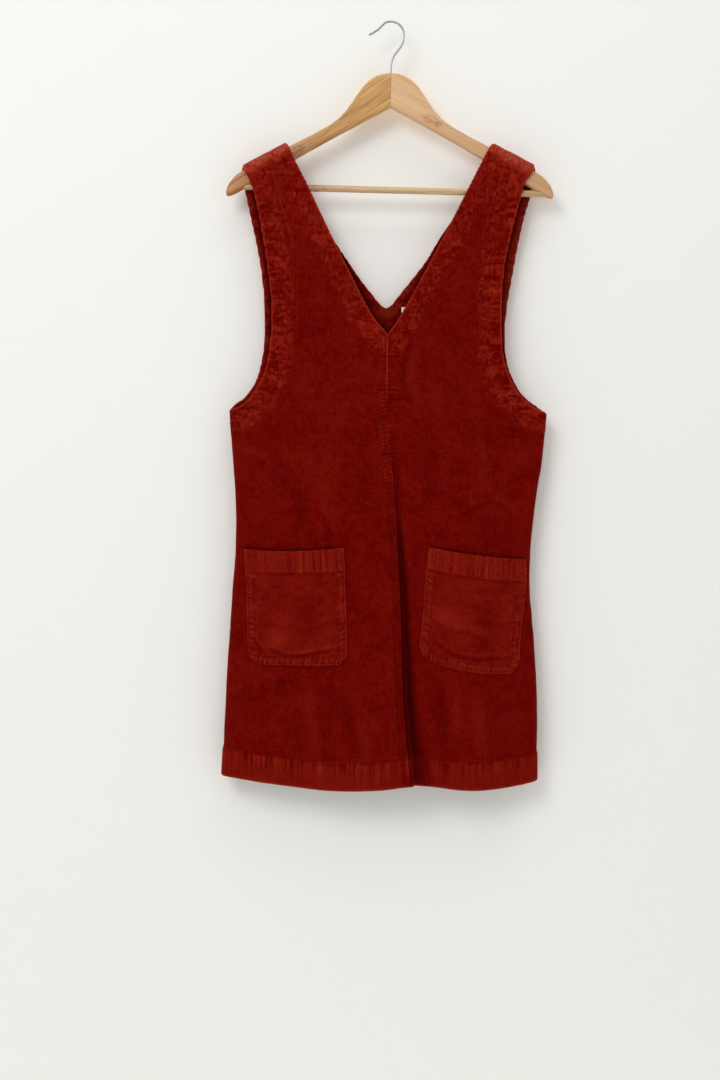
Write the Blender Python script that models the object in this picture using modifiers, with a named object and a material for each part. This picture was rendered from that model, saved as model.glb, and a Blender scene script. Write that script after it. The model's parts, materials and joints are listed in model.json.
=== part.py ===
"""Sleeveless corduroy pinafore dress hanging on a wooden clothes hanger.

X runs across the dress, Y from its front (-Y) to its back (+Y) and Z up, in metres.
The origin is the inner top of the hanger's hook, where a knob or rail carries everything.
The sizes and tables below are in millimetres, and MM turns them into metres.
A level is a height on the cloth; above the fold over the hanger it is a length along the fold.
"""

import math

import bmesh
import bpy
import numpy as np

MM = 0.001
NAME = "pinafore_dress_on_hanger"
LEFT = -1
RIGHT = 1
FRONT = -1
BACK = 1
SEAM_GAP = 0.3

# ---- cloth -------------------------------------------------------------------------------
CLOTH_WALL = 1.8
FACED_WALL = 2.7
HEM_WALL = 3.0
SHOULDER_WALL = 5.7
FACING_WALL = 1.3
NECK_BAND = 30.0
ARMHOLE_BAND = 36.0
HEM_BAND = 37.0
BAND_BLEND = 7.0
SIDE_ROUND = 9.0
POCKET_WALL = 1.8
POCKET_BULGE = 7.3
POCKET_CORNER = 14.0
POCKET_SEAT = 0.6
LABEL_SIZE = (35.0, 0.5, 15.0)
LABEL_CORNER = (14.5, -386.0)
LABEL_GAP = 0.7

# Fold over the hanger's arm: inner radius, crown height and the slope that follows the arm
FOLD_RADIUS = 7.2
CROWN_HEIGHT = -184.8
FOLD_START = CROWN_HEIGHT - FOLD_RADIUS
FOLD_END = FOLD_START + FOLD_RADIUS * math.pi / 2
SHOULDER_X = {LEFT: -171.5, RIGHT: 166.0}
SHOULDER_SLOPE = 0.535
TILT_FROM = -310.0
TILT_TO = -205.0
SHOULDER_BULK_FROM = -206.0

ARMPIT = {LEFT: -528.0, RIGHT: -533.0}
FRONT_V = -425.0
BACK_V = -387.0
HEM_LEVEL = -1036.0
HEM_CURVE_FROM = -920.0
ARMHOLE_PART = 45.0
FOLD_OF_FRONT_FROM = -545.0

# Neck edge of the fronts, from above the shoulder down to the V: height, x
FRONT_NECK = {
    LEFT: ((-160, -142.5), (-180, -134.0), (-220, -114.0), (-260, -95.5), (-300, -76.5),
           (-345, -54.0), (-390, -31.0), (-410, -18.0), (FRONT_V, -4.2)),
    RIGHT: ((-160, 139.5), (-180, 128.5), (-220, 108.0), (-260, 88.0), (-300, 67.0),
            (-345, 43.5), (-390, 18.5), (-410, 6.5), (FRONT_V, -4.2)),
}  # fmt: skip
# Centre-front seam, from the V to the hem: height, x
CENTRE_FRONT = (
    (FRONT_V, -4.2),
    (-525, -4.2),
    (-570, -2.2),
    (-622, 2.8),
    (-680, 7.2),
    (-743, 10.2),
    (-800, 12.6),
    (-870, 14.6),
    (-930, 16.9),
    (-990, 21.8),
    (-1044, 26.0),
)
# Front armhole edge, from above the shoulder down to the armpit: height, x
FRONT_ARMHOLE = {
    LEFT: ((-198, -204.0), (-206, -198.0), (-220, -191.0), (-245, -183.0), (-290, -174.3),
           (-340, -166.5), (-390, -162.0), (-420, -162.5), (-450, -165.5), (-470, -169.5),
           (-487, -176.0), (-502, -184.3), (-513, -192.3), (-522, -202.0), (-528, -219.6)),
    RIGHT: ((-198, 196.0), (-206, 192.0), (-220, 182.5), (-245, 175.0), (-290, 163.0),
            (-340, 153.0), (-390, 149.5), (-420, 149.5), (-450, 151.5), (-470, 156.3),
            (-487, 162.5), (-502, 170.3), (-513, 179.0), (-522, 188.5), (-528, 197.3),
            (-533, 211.8)),
}  # fmt: skip
# Side seam, from the armpit to the hem: height, x
SIDE_SEAM = {
    LEFT: ((-528, -219.6), (-545, -218.6), (-570, -216.3), (-600, -214.0), (-640, -211.6),
           (-680, -210.5), (-720, -211.4), (-770, -215.0), (-820, -218.4), (-880, -222.3),
           (-940, -225.3), (-1030, -230.0)),
    RIGHT: ((-533, 211.8), (-545, 210.8), (-570, 208.4), (-600, 205.2), (-640, 198.4),
            (-680, 193.7), (-720, 190.2), (-768, 189.0), (-820, 193.4), (-880, 197.2),
            (-940, 199.0), (-1030, 198.0)),
}  # fmt: skip
# Back neck edge, from above the shoulder down to its V: height, x
BACK_NECK = {
    LEFT: ((-160, -142.5), (-180, -136.5), (-220, -118.0), (-260, -99.0), (-300, -73.8),
           (-320, -60.4), (-350, -40.0), (-368, -25.6), (BACK_V, -6.3)),
    RIGHT: ((-160, 139.5), (-180, 131.0), (-220, 111.5), (-260, 88.0), (-300, 61.8),
            (-320, 50.2), (-350, 27.4), (-368, 12.8), (BACK_V, -6.3)),
}  # fmt: skip
CENTRE_BACK = ((BACK_V, -6.3), (-1044, -6.3))
# Back armhole edge, from above the shoulder down to the armpit: height, x
BACK_ARMHOLE = {
    LEFT: ((-198, -204.3), (-220, -200.6), (-260, -192.3), (-300, -183.5), (-345, -176.0),
           (-390, -172.5), (-420, -172.2), (-450, -174.8), (-470, -178.8), (-487, -184.3),
           (-502, -193.0), (-513, -201.5), (-522, -212.5), (-528, -219.6)),
    RIGHT: ((-198, 198.0), (-220, 194.6), (-240, 189.6), (-265, 182.2), (-300, 174.3), (-345, 166.0),
            (-390, 158.5), (-420, 156.3), (-450, 157.3), (-470, 161.2), (-487, 168.2),
            (-502, 176.6), (-513, 185.8), (-522, 196.3), (-528, 203.5), (-533, 211.8)),
}  # fmt: skip
# Hem: x, height
FRONT_HEM = (
    (-230, -1023.0),
    (-206, -1027.0),
    (-158, -1033.5),
    (-126, -1037.5),
    (-86, -1041.0),
    (-54, -1042.0),
    (-15, -1040.3),
    (26, -1035.0),
    (43, -1035.9),
    (66, -1037.6),
    (87, -1040.0),
    (116, -1041.4),
    (145, -1040.2),
    (175, -1035.8),
    (197, -1030.0),
)
BACK_HEM = (
    (-230, -1023.0),
    (-160, -1030.0),
    (-80, -1035.0),
    (0, -1037.0),
    (80, -1036.0),
    (150, -1033.0),
    (197, -1030.0),
)
# How far the cloth's inner face stands from the hanger's plane: height, front middle,
# front beside the seam, back middle, back beside the seam
DEPTHS = (
    (-190, 7.2, 7.2, 8.8, 8.8),
    (-240, 7.4, 7.4, 9.0, 9.0),
    (-330, 9.5, 8.6, 10.4, 9.6),
    (-430, 12.5, 9.0, 12.4, 9.4),
    (-530, 15.0, 7.5, 13.6, 7.5),
    (-650, 18.5, 8.0, 15.0, 8.0),
    (-800, 23.0, 9.0, 16.5, 8.5),
    (-940, 26.5, 10.0, 18.0, 9.0),
    (-1044, 28.5, 10.5, 19.0, 9.5),
)
# Centre-front fold: height, how far the seam stands proud, how far the right front drops behind
CENTRE_FOLD = (
    (-500, 0.0, 0.0),
    (-600, 0.8, 2.5),
    (-735, 2.6, 6.5),
    (-860, 5.0, 11.0),
    (-1044, 8.0, 16.5),
)
# Long soft waves that grow towards the hem: x at the hem, half width, height at the hem
FRONT_WAVES = ((-176, 22, 3.0), (-122, 24, -3.0), (96, 26, 3.5), (158, 20, -3.0))
BACK_WAVES = ((-150, 28, 4.0), (-78, 26, -4.0), (14, 30, 4.5), (84, 24, -4.0), (142, 22, 3.0))
WAVES_FROM = -660.0
WAVE_MARGIN = 30.0
# Share of a panel's width over which it swells from its side to its middle depth
SWELL_SHARE = 0.62
# How far the left front's swell and the right front's hollow reach from the centre-front seam
PROUD_REACH = 42.0
BEHIND_REACH = 62.0
# The right front stands level with the seam over the first stretch and drops over the next
FOLD_LIP = 1.3
FOLD_DROP = 6.0

LEVELS = (
    -1036, -1018, -999, -960, -915, -870, -820, -770, -720, -670, -620, -578,
    -548, -533, -528, -522, -513, -502, -487, -468, -447, -425, -406, -387,
    -360, -330, -300, -272, -246, -224, -206,
)  # fmt: skip
FOLD_ANGLES = (0, 28, 54, 79, 90)
FRONT_COLUMNS = 15
BACK_COLUMNS = 11
# First columns of the right front, by distance from the seam: above its fold, in the fold
FOLD_COLUMNS = ((0.0, 0.0), (FOLD_LIP, FOLD_LIP), (5.0, 2.8), (9.0, 4.2), (14.0, 9.0))
FOLD_GROWTH = 60.0
# Last columns, by distance from the outer edge: on the armhole, on the side seam; and the
# share of the side's rounding that each has
SIDE_COLUMNS = ((4.5, 4.5, 0.866), (2.4, 1.2, 0.5), (1.2, 0.0, 0.2), (0.0, 0.0, 0.0))
SEAM_START = 25.0
FACING_FROM = -468
FACING_COLUMNS = (0, 1, 3, 5, 7, 9, 10, 12, 14)

# Pockets: distance down (0 at the mouth, 1 at the bottom) against the two side edges, and the
# mouth and bottom heights at the left edge, middle and right edge
POCKETS = {
    LEFT: {
        "sides": ((0.0, -198.2, -63.7), (0.45, -194.6, -61.3), (1.0, -192.6, -58.8)),
        "mouth": (-716.5, -719.7, -714.5),
        "bottom": (-871.0, -873.6, -871.5),
    },
    RIGHT: {
        "sides": (
            (0.0, 51.5, 181.5),
            (0.25, 47.0, 181.5),
            (0.5, 44.5, 178.0),
            (0.75, 41.0, 174.5),
            (1.0, 37.0, 173.0),
        ),
        "mouth": (-714.5, -725.5, -731.0),
        "bottom": (-861.0, -881.5, -884.5),
    },
}
POCKET_ACROSS = (0, 0.02, 0.09, 0.18, 0.28, 0.39, 0.5, 0.61, 0.72, 0.82, 0.91, 0.98, 1)
POCKET_DOWN = (0, 0.08, 0.2, 0.34, 0.48, 0.61, 0.72, 0.82, 0.9, 0.95, 0.98, 1)

# ---- hanger ------------------------------------------------------------------------------
WOOD_THICKNESS = 12.4
WOOD_ROUND = 5.4
WOOD_PIVOT = -69.5
HANGER_ROLL = math.radians(0.5)
CORNER_STEPS = 4
# Profile of an arm, from the joint out to its tip: x, height of the top, of the underside
ARM_PROFILE = (
    (0.15, -69.3, -116.5),
    (10.0, -70.2, -121.8),
    (20.0, -73.2, -127.3),
    (30.0, -79.6, -132.7),
    (38.0, -88.0, -137.0),
    (46.0, -99.0, -141.4),
    (53.0, -110.0, -145.2),
    (61.0, -121.3, -149.5),
    (70.0, -131.0, -154.4),
    (82.0, -140.3, -160.9),
    (105.0, -153.3, -174.0),
    (150.0, -176.6, -199.9),
    (184.0, -194.7, -219.7),
    (200.0, -203.4, -229.2),
    (208.0, -208.6, -233.9),
    (214.0, -214.0, -236.9),
    (218.5, -220.0, -238.2),
    (221.3, -226.6, -237.9),
    (222.6, -231.4, -236.0),
)
# How an arm thins towards its tip: x, share of its thickness
ARM_TAPER = ((0, 1.0), (196, 1.0), (210, 0.94), (218.5, 0.77), (222.6, 0.4))
BAR_RADIUS = 4.6
BAR_ENDS = ((-211.0, -222.8), (211.5, -233.6))
WIRE_RADIUS = 1.5
HOLE_PLAY = 0.3
HOOK_RADIUS = 17.8
HOOK_ARC_END = 128
# Wire of the hook from inside the wood up to the arc, then its flared tip: x, height
HOOK_STEM = ((0.0, -94.0), (0.0, -78.0), (0.0, -64.0), (0.7, -57.0), (2.2, -50.5), (5.0, -44.5),
             (9.6, -38.3), (14.0, -32.2), (17.0, -26.0), (17.9, -20.5))  # fmt: skip
HOOK_TIP = ((-17.0, -9.3), (-23.0, -13.4), (-29.8, -17.0))
HOOK_HOLE_DEPTH = 25.5

COLOURS = {
    "corduroy": ((0.30, 0.030, 0.012), 0.95, 0.0),
    "facing": ((0.24, 0.024, 0.010), 0.95, 0.0),
    "label": ((0.85, 0.84, 0.80), 0.8, 0.0),
    "left wood": ((0.55, 0.29, 0.10), 0.45, 0.0),
    "right wood": ((0.64, 0.37, 0.17), 0.45, 0.0),
    "bar wood": ((0.62, 0.40, 0.19), 0.5, 0.0),
    "wire": ((0.60, 0.60, 0.62), 0.25, 1.0),
}


# ---- small mathematics -------------------------------------------------------------------
def clamp01(t):
    return np.clip(t, 0.0, 1.0)


def ease(t):
    t = clamp01(t)
    return t * t * (3 - 2 * t)


def smooth(table, column, at):
    """A table's column at the places `at` in its first column, by a monotone cubic."""
    rows = sorted(table)
    x = np.array([row[0] for row in rows], float)
    y = np.array([row[column] for row in rows], float)
    width = np.diff(x)
    slope = np.diff(y) / width
    product = slope[:-1] * slope[1:]
    total = slope[:-1] + slope[1:]
    tangent = np.empty_like(y)
    tangent[1:-1] = np.where(product > 0, 2 * product / np.where(total == 0, 1, total), 0)
    tangent[0] = slope[0]
    tangent[-1] = slope[-1]
    at = np.clip(at, x[0], x[-1])
    i = np.clip(np.searchsorted(x, at) - 1, 0, len(width) - 1)
    t = (at - x[i]) / width[i]
    return (
        y[i] * (1 + 2 * t) * (1 - t) ** 2
        + y[i + 1] * t * t * (3 - 2 * t)
        + width[i] * (tangent[i] * t * (1 - t) ** 2 - tangent[i + 1] * t * t * (1 - t))
    )


def distance_to(points, x, z):
    """Distance in the front view from each (x, z) to the nearest of a curve's points."""
    gap = np.hypot(x[..., None] - points[:, 0], z[..., None] - points[:, 1])
    return gap.min(axis=-1)


# ---- the shape of the cloth --------------------------------------------------------------
class Panel:
    """One half of the front or back, as a sheet of points at (level, distance from middle)."""

    def __init__(self, side, facing, folded=False):
        front = facing == FRONT
        self.side = side
        self.facing = facing
        self.folded = folded
        self.neck_edge = (FRONT_NECK if front else BACK_NECK)[side]
        self.centre = CENTRE_FRONT if front else CENTRE_BACK
        self.armhole_edge = (FRONT_ARMHOLE if front else BACK_ARMHOLE)[side]
        self.hem = FRONT_HEM if front else BACK_HEM
        self.waves = FRONT_WAVES if front else BACK_WAVES
        self.v_height = FRONT_V if front else BACK_V
        self.depth_column = 1 if front else 3
        self.rise = float(smooth(DEPTHS, self.depth_column, -190.0))
        heights = np.linspace(ARMPIT[side], -200, 170)
        self.armhole = np.stack([self.outer_edge(heights), heights], axis=1)
        heights = np.linspace(self.v_height, -165, 130)
        self.neck = np.stack([self.inner_edge(heights), heights], axis=1)

    def inner_edge(self, z):
        """x of the neck edge, or of the centre line below the V."""
        return np.where(z > self.v_height, smooth(self.neck_edge, 1, z), smooth(self.centre, 1, z))

    def outer_edge(self, z):
        """x of the armhole edge, or of the side seam below the armpit."""
        side = smooth(SIDE_SEAM[self.side], 1, z)
        return np.where(z > ARMPIT[self.side], smooth(self.armhole_edge, 1, z), side)

    def centre_height(self, level):
        """Height of a row at the middle of the strap, round the fold over the hanger."""
        angle = (level - FOLD_START) / FOLD_RADIUS
        turn = np.minimum(np.sin(angle) / math.sin(math.radians(FOLD_ANGLES[-2])), 1.0)
        return np.where(level > FOLD_START, FOLD_START + self.rise * turn, level)

    def height(self, level, x):
        """Height of a row at x: level, tilted in the strap, and bent to the hem's curve."""
        tilt = -self.side * SHOULDER_SLOPE * ease((level - TILT_FROM) / (TILT_TO - TILT_FROM))
        z = self.centre_height(level) + tilt * (x - SHOULDER_X[self.side])
        low = clamp01((HEM_CURVE_FROM - level) / (HEM_CURVE_FROM - HEM_LEVEL))
        return z + low * (smooth(self.hem, 1, x) - HEM_LEVEL)

    def meet(self, edge, level):
        """x where the row meets an edge."""
        x = edge(level)
        for _ in range(6):
            x = edge(self.height(level, x))
        return x

    def seamed(self, level):
        """1 below the armpit, where the edge is the side seam, 0 on the free armhole edge."""
        return 1 - ease((level - ARMPIT[self.side]) / SEAM_START)

    def limits(self, level):
        """Inner and outer x of the row, on the cloth's inner face."""
        seam = SEAM_GAP / 2 if self.facing == FRONT else 0.0
        wall = np.where(level <= ARMPIT[self.side], CLOTH_WALL, 0.0)
        inner = self.meet(self.inner_edge, level) + self.side * seam
        return inner, self.meet(self.outer_edge, level) - self.side * wall

    def depth(self, level, x, rounding=None):
        """How far the inner face stands out from the hanger's plane."""
        inner, outer = self.limits(level)
        width = np.abs(outer - inner)
        from_side = np.abs(outer - x)
        from_middle = np.abs(x - inner)
        middle = smooth(DEPTHS, self.depth_column, level)
        beside = smooth(DEPTHS, self.depth_column + 1, level)
        parted = np.sin(math.pi / 2 * clamp01((level - ARMPIT[self.side]) / ARMHOLE_PART))
        edge = SEAM_GAP / 2 + (beside - SEAM_GAP / 2) * parted
        if rounding is None:
            rounding = np.sqrt(1 - (1 - clamp01(from_side / SIDE_ROUND)) ** 2)
        out = edge + (beside - edge) * rounding
        out = out + (middle - beside) * ease(from_side / (SWELL_SHARE * width))
        grown = ease((WAVES_FROM - level) / (WAVES_FROM - HEM_LEVEL))
        inside = ease(from_side / WAVE_MARGIN) * ease(from_middle / WAVE_MARGIN)
        for centre, half_width, height in self.waves:
            out = out + grown * inside * height * np.exp(-(((x - centre) / half_width) ** 2))
        if self.facing == FRONT:
            out = out + self.centre_fold(level, from_middle)
        over = clamp01((level - FOLD_START) / FOLD_RADIUS * 2 / math.pi)
        return np.where(level > FOLD_START, middle * np.cos(over * math.pi / 2), out)

    def centre_fold(self, level, from_middle):
        """The left front swells to the seam; the right front drops back just beyond it."""
        proud = smooth(CENTRE_FOLD, 1, level)
        if not self.folded:
            return proud * np.exp(-((from_middle / PROUD_REACH) ** 2))
        drop = smooth(CENTRE_FOLD, 2, level)
        behind = (proud - drop) * np.exp(-((from_middle / BEHIND_REACH) ** 2))
        return proud + (behind - proud) * ease((from_middle - FOLD_LIP) / FOLD_DROP)

    def wall(self, level, x, z):
        """Thickness of the cloth, more where it is faced, hemmed or seamed at the shoulder."""
        t = np.full_like(x, CLOTH_WALL)
        neck = 1 - ease((distance_to(self.neck, x, z) - NECK_BAND) / BAND_BLEND)
        armhole = 1 - ease((distance_to(self.armhole, x, z) - ARMHOLE_BAND) / BAND_BLEND)
        armhole = armhole * ease((level - ARMPIT[self.side]) / BAND_BLEND)
        t = t + (FACED_WALL - CLOTH_WALL) * np.maximum(neck, armhole)
        hem = 1 - ease((z - smooth(self.hem, 1, x) - HEM_BAND + 2) / BAND_BLEND)
        t = np.maximum(t, CLOTH_WALL + (HEM_WALL - CLOTH_WALL) * hem)
        bulk = ease((level - SHOULDER_BULK_FROM) / (FOLD_END - SHOULDER_BULK_FROM))
        crown = SHOULDER_WALL + FOLD_RADIUS - self.rise
        return t + (crown - FACED_WALL) * bulk

    def columns(self, level):
        """Distances from the middle of one row's points, and their place round the side."""
        inner, outer = self.limits(np.float64(level))
        width = abs(outer - inner)
        if self.folded:
            fold = float(ease((FOLD_OF_FRONT_FROM - level) / FOLD_GROWTH))
            first = [above + (inside - above) * fold for above, inside in FOLD_COLUMNS]
        elif self.facing == FRONT:
            first = [0.0, FOLD_LIP]
        else:
            first = [0.0]
        start = first[-1]
        stop = width - SIDE_ROUND
        count = (FRONT_COLUMNS if self.facing == FRONT else BACK_COLUMNS) - len(first)
        across = [start + (stop - start) * k / count for k in range(1, count + 1)]
        seam = float(self.seamed(level))
        last = [width - free - (sewn - free) * seam for free, sewn, _ in SIDE_COLUMNS]
        rounding = [None] * (len(first) + count) + [share for _, _, share in SIDE_COLUMNS]
        return first + across + last, rounding, inner, outer

    def rows(self, levels):
        """Grid of inner-face points and wall thicknesses, a row for each level."""
        grid = []
        walls = []
        for level in levels:
            distances, rounding, inner, outer = self.columns(level)
            row = []
            wall = []
            for distance, place in zip(distances, rounding):
                x = inner + self.side * distance
                z = self.height(level, x)
                out = self.depth(level, x, place)
                out = max(float(out), SEAM_GAP / 2)
                row.append((float(x), self.facing * out, float(z)))
                wall.append(float(self.wall(level, np.array(x), np.array(z))))
            grid.append(row)
            walls.append(wall)
        return np.array(grid), np.array(walls)

    def point(self, level, x):
        """Point of the inner face and its outward normal at a level and x."""
        here, right, up = (
            np.array((at, self.facing * self.depth(row, at), self.height(row, at)))
            for row, at in ((level, x), (level, x + 1), (level + 1, x))
        )
        normal = np.cross(right - here, up - here)
        return here, normal / np.linalg.norm(normal) * (1 if normal[1] * self.facing > 0 else -1)


FRONTS = {LEFT: Panel(LEFT, FRONT), RIGHT: Panel(RIGHT, FRONT, folded=True)}
BACKS = {LEFT: Panel(LEFT, BACK), RIGHT: Panel(RIGHT, BACK)}


def all_levels(lowest=HEM_LEVEL):
    flat = [float(level) for level in LEVELS if level >= lowest]
    return flat + [FOLD_START + FOLD_RADIUS * math.radians(angle) for angle in FOLD_ANGLES]


# ---- making objects ----------------------------------------------------------------------
def material(name):
    colour, roughness, metallic = COLOURS[name]
    mat = bpy.data.materials.new(name)
    mat.use_nodes = True
    shader = mat.node_tree.nodes["Principled BSDF"]
    shader.inputs["Base Color"].default_value = (*colour, 1)
    shader.inputs["Roughness"].default_value = roughness
    shader.inputs["Metallic"].default_value = metallic
    return mat


def add_object(name, data, collection, mat=None):
    obj = bpy.data.objects.new(name, data)
    collection.objects.link(obj)
    if mat is not None:
        data.materials.append(mat)
    return obj


def grid_sheet(name, grids, walls, outward):
    """An open mesh through one or more grids of points, welded where they share points."""
    bm = bmesh.new()
    weight = bm.verts.layers.deform.verify()
    thickest = max(wall.max() for wall in walls)
    for grid, wall in zip(grids, walls):
        rows, columns = wall.shape
        verts = [[bm.verts.new(grid[r, c] * MM) for c in range(columns)] for r in range(rows)]
        for r in range(rows):
            for c in range(columns):
                verts[r][c][weight][0] = wall[r, c] / thickest
        for r in range(rows - 1):
            for c in range(columns - 1):
                bm.faces.new((verts[r][c], verts[r][c + 1], verts[r + 1][c + 1], verts[r + 1][c]))
    for face in bm.faces:
        face.normal_update()
    bmesh.ops.remove_doubles(bm, verts=bm.verts, dist=0.01 * MM)
    bmesh.ops.recalc_face_normals(bm, faces=bm.faces)
    total = sum(face.normal.y * face.calc_area() for face in bm.faces)
    if total * outward < 0:
        bmesh.ops.reverse_faces(bm, faces=bm.faces)
    mesh = bpy.data.meshes.new(name)
    bm.to_mesh(mesh)
    bm.free()
    mesh.shade_smooth()
    return mesh, thickest


def cloth(name, grids, walls, outward, grows, collection, mat):
    """A sheet thickened into a wall, towards +1 or away from -1 its outward side."""
    mesh, thickest = grid_sheet(name, grids, walls, outward)
    obj = add_object(name, mesh, collection, mat)
    group = obj.vertex_groups.new(name="wall")
    solid = obj.modifiers.new("wall", "SOLIDIFY")
    solid.thickness = thickest * MM
    solid.offset = grows
    solid.use_even_offset = True
    solid.use_quality_normals = True
    solid.vertex_group = group.name
    solid.thickness_vertex_group = 0.0
    return obj


def make_fronts(collection, mat):
    for side, name in ((LEFT, "front_left"), (RIGHT, "front_right")):
        grid, walls = FRONTS[side].rows(all_levels())
        cloth(name, [grid], [walls], -1, 1, collection, mat)


def make_back(collection, mat):
    sheets = [BACKS[side].rows(all_levels()) for side in (LEFT, RIGHT)]
    cloth("back", [s[0] for s in sheets], [s[1] for s in sheets], 1, 1, collection, mat)


def make_facing(collection, mat):
    """The facing inside the back neck and straps, a seam gap inside the back."""
    grids = []
    walls = []
    for side in (LEFT, RIGHT):
        panel = BACKS[side]
        grid, wall = panel.rows(all_levels(FACING_FROM))
        grid = grid[:, FACING_COLUMNS]
        top = len(grid) - len(FOLD_ANGLES)
        angles = np.radians(np.array(FOLD_ANGLES))[:, None]
        grid[:top, :, 1] -= SEAM_GAP
        grid[top:, :, 1] = np.maximum(grid[top:, :, 1] * (1 - SEAM_GAP / panel.rise), SEAM_GAP / 2)
        grid[top:, :, 2] -= SEAM_GAP * np.sin(angles)
        grids.append(grid)
        walls.append(np.full(grid.shape[:2], FACING_WALL))
    cloth("back_facing", grids, walls, 1, -1, collection, mat)


def round_corner(along, above):
    """Distances from the two edges at a square corner, drawn in onto the corner's rounding."""
    a = POCKET_CORNER - along
    b = POCKET_CORNER - above
    if a <= 0 or b <= 0:
        return along, above
    shrink = max(a, b) / math.hypot(a, b)
    return POCKET_CORNER - a * shrink, POCKET_CORNER - b * shrink


def pocket_place(plan, across, down):
    """Front-view place on a pocket, from shares of its width and of its depth."""
    left = float(smooth(plan["sides"], 1, down))
    right = float(smooth(plan["sides"], 2, down))
    mouth = bend(plan["mouth"], across)
    bottom = bend(plan["bottom"], across)
    above = (1 - down) * (mouth - bottom)
    from_left = (right - left) * across
    from_right = (right - left) - from_left
    if from_left < from_right:
        from_left, above = round_corner(from_left, above)
        return left + from_left, bottom + above
    from_right, above = round_corner(from_right, above)
    return right - from_right, bottom + above


def pocket_grid(side):
    """Inner face of a patch pocket: its panel's points moved out, and bowed at the mouth."""
    panel = FRONTS[side]
    grid = []
    for down in POCKET_DOWN:
        row = []
        for across in POCKET_ACROSS:
            x, z = pocket_place(POCKETS[side], across, down)
            base, normal = panel.point(z, x)
            bow = (1 - abs(2 * across - 1) ** 3) * (1 - down**2)
            row.append(base + normal * (CLOTH_WALL + POCKET_SEAT + POCKET_BULGE * bow))
        grid.append(row)
    return np.array(grid)


def bend(heights, across):
    """Height on the parabola through the left, middle and right heights."""
    first, middle, last = heights
    straight = first + (last - first) * across
    return straight + (middle - (first + last) / 2) * 4 * across * (1 - across)


def make_pockets(collection, mat):
    for side, name in ((LEFT, "pocket_left"), (RIGHT, "pocket_right")):
        grid = pocket_grid(side)
        walls = np.full(grid.shape[:2], POCKET_WALL)
        cloth(name, [grid], [walls], -1, 1, collection, mat)


def make_label(collection, mat):
    """A blank woven label on the facing, right of the back neck's V."""
    mesh = bpy.data.meshes.new("label")
    bm = bmesh.new()
    bmesh.ops.create_cube(bm, size=1.0)
    bmesh.ops.scale(bm, vec=[size * MM for size in LABEL_SIZE], verts=bm.verts)
    bm.to_mesh(mesh)
    bm.free()
    obj = add_object("label", mesh, collection, mat)
    x = LABEL_CORNER[0] + LABEL_SIZE[0] / 2
    z = LABEL_CORNER[1] - LABEL_SIZE[2] / 2
    base, _ = BACKS[RIGHT].point(z, x)
    inside = SEAM_GAP + FACING_WALL + LABEL_GAP + LABEL_SIZE[1] / 2
    obj.location = (x * MM, (base[1] - inside) * MM, z * MM)
    return obj


def cutter_cylinder(name, start, end, radius, collection):
    """A cylinder from start to end in the hanger's plane, for cutting a hole."""
    run = (end[0] - start[0], end[1] - start[1])
    length = math.hypot(*run) * MM
    radius = radius * MM
    mesh = bpy.data.meshes.new(name)
    bm = bmesh.new()
    bmesh.ops.create_cone(bm, cap_ends=True, segments=24, radius1=radius, radius2=radius, depth=length)
    bm.to_mesh(mesh)
    bm.free()
    obj = add_object(name, mesh, collection)
    obj.location = ((start[0] + end[0]) / 2 * MM, 0, (start[1] + end[1]) / 2 * MM)
    obj.rotation_euler = (0, math.atan2(run[0], run[1]), 0)
    hide(obj)
    return obj


def hide(obj):
    obj.hide_render = True
    obj.display_type = "WIRE"


def cut(obj, cutter):
    modifier = obj.modifiers.new(cutter.name, "BOOLEAN")
    modifier.operation = "DIFFERENCE"
    modifier.solver = "EXACT"
    modifier.object = cutter


def arm_section(x, top, under):
    """Points round an arm's cross-section, a rectangle with well-rounded corners."""
    half = WOOD_THICKNESS / 2 * float(smooth(ARM_TAPER, 1, x))
    radius = min(WOOD_ROUND, 0.85 * half, 0.45 * (top - under))
    points = []
    corners = ((half, top, 0), (-half, top, 90), (-half, under, 180), (half, under, 270))
    for y, z, first in corners:
        centre_y = math.copysign(abs(y) - radius, y)
        centre_z = z - radius if z == top else z + radius
        for step in range(CORNER_STEPS):
            angle = math.radians(first + 90 * step / (CORNER_STEPS - 1))
            points.append((x, centre_y + radius * math.cos(angle), centre_z + radius * math.sin(angle)))
    return points


def make_arm(side, name, collection, cutters, mat):
    """One arm, lofted from the joint to its rounded tip, with the bar's and the hook's holes."""
    mesh = bpy.data.meshes.new(name)
    bm = bmesh.new()
    rings = []
    for x, top, under in ARM_PROFILE:
        section = arm_section(x, top, under)
        rings.append([bm.verts.new((side * x * MM, y * MM, (z - WOOD_PIVOT) * MM)) for x, y, z in section])
    for ring, following in zip(rings, rings[1:]):
        for k in range(len(ring)):
            after = (k + 1) % len(ring)
            bm.faces.new((ring[k], ring[after], following[after], following[k]))
    bm.faces.new(rings[0])
    bm.faces.new(rings[-1])
    bmesh.ops.recalc_face_normals(bm, faces=bm.faces)
    bm.to_mesh(mesh)
    bm.free()
    mesh.shade_smooth()
    mesh.set_sharp_from_angle(angle=math.radians(50))
    obj = add_object(name, mesh, collection, mat)
    obj.location = (0, 0, WOOD_PIVOT * MM)
    obj.rotation_euler = (0, HANGER_ROLL, 0)
    start, end = BAR_ENDS if side == RIGHT else BAR_ENDS[::-1]
    slope = (end[1] - start[1]) / (end[0] - start[0])
    middle = (0, start[1] - slope * start[0])
    stop = (end[0] + side * HOLE_PLAY, end[1])
    cut(obj, cutter_cylinder(f"bar_hole_{name}", middle, stop, BAR_RADIUS + HOLE_PLAY, cutters))
    bottom = (0, WOOD_PIVOT - HOOK_HOLE_DEPTH)
    above = (0, WOOD_PIVOT + HOOK_HOLE_DEPTH / 2)
    cut(obj, cutter_cylinder(f"hook_hole_{name}", bottom, above, WIRE_RADIUS + HOLE_PLAY, cutters))
    return obj


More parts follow.
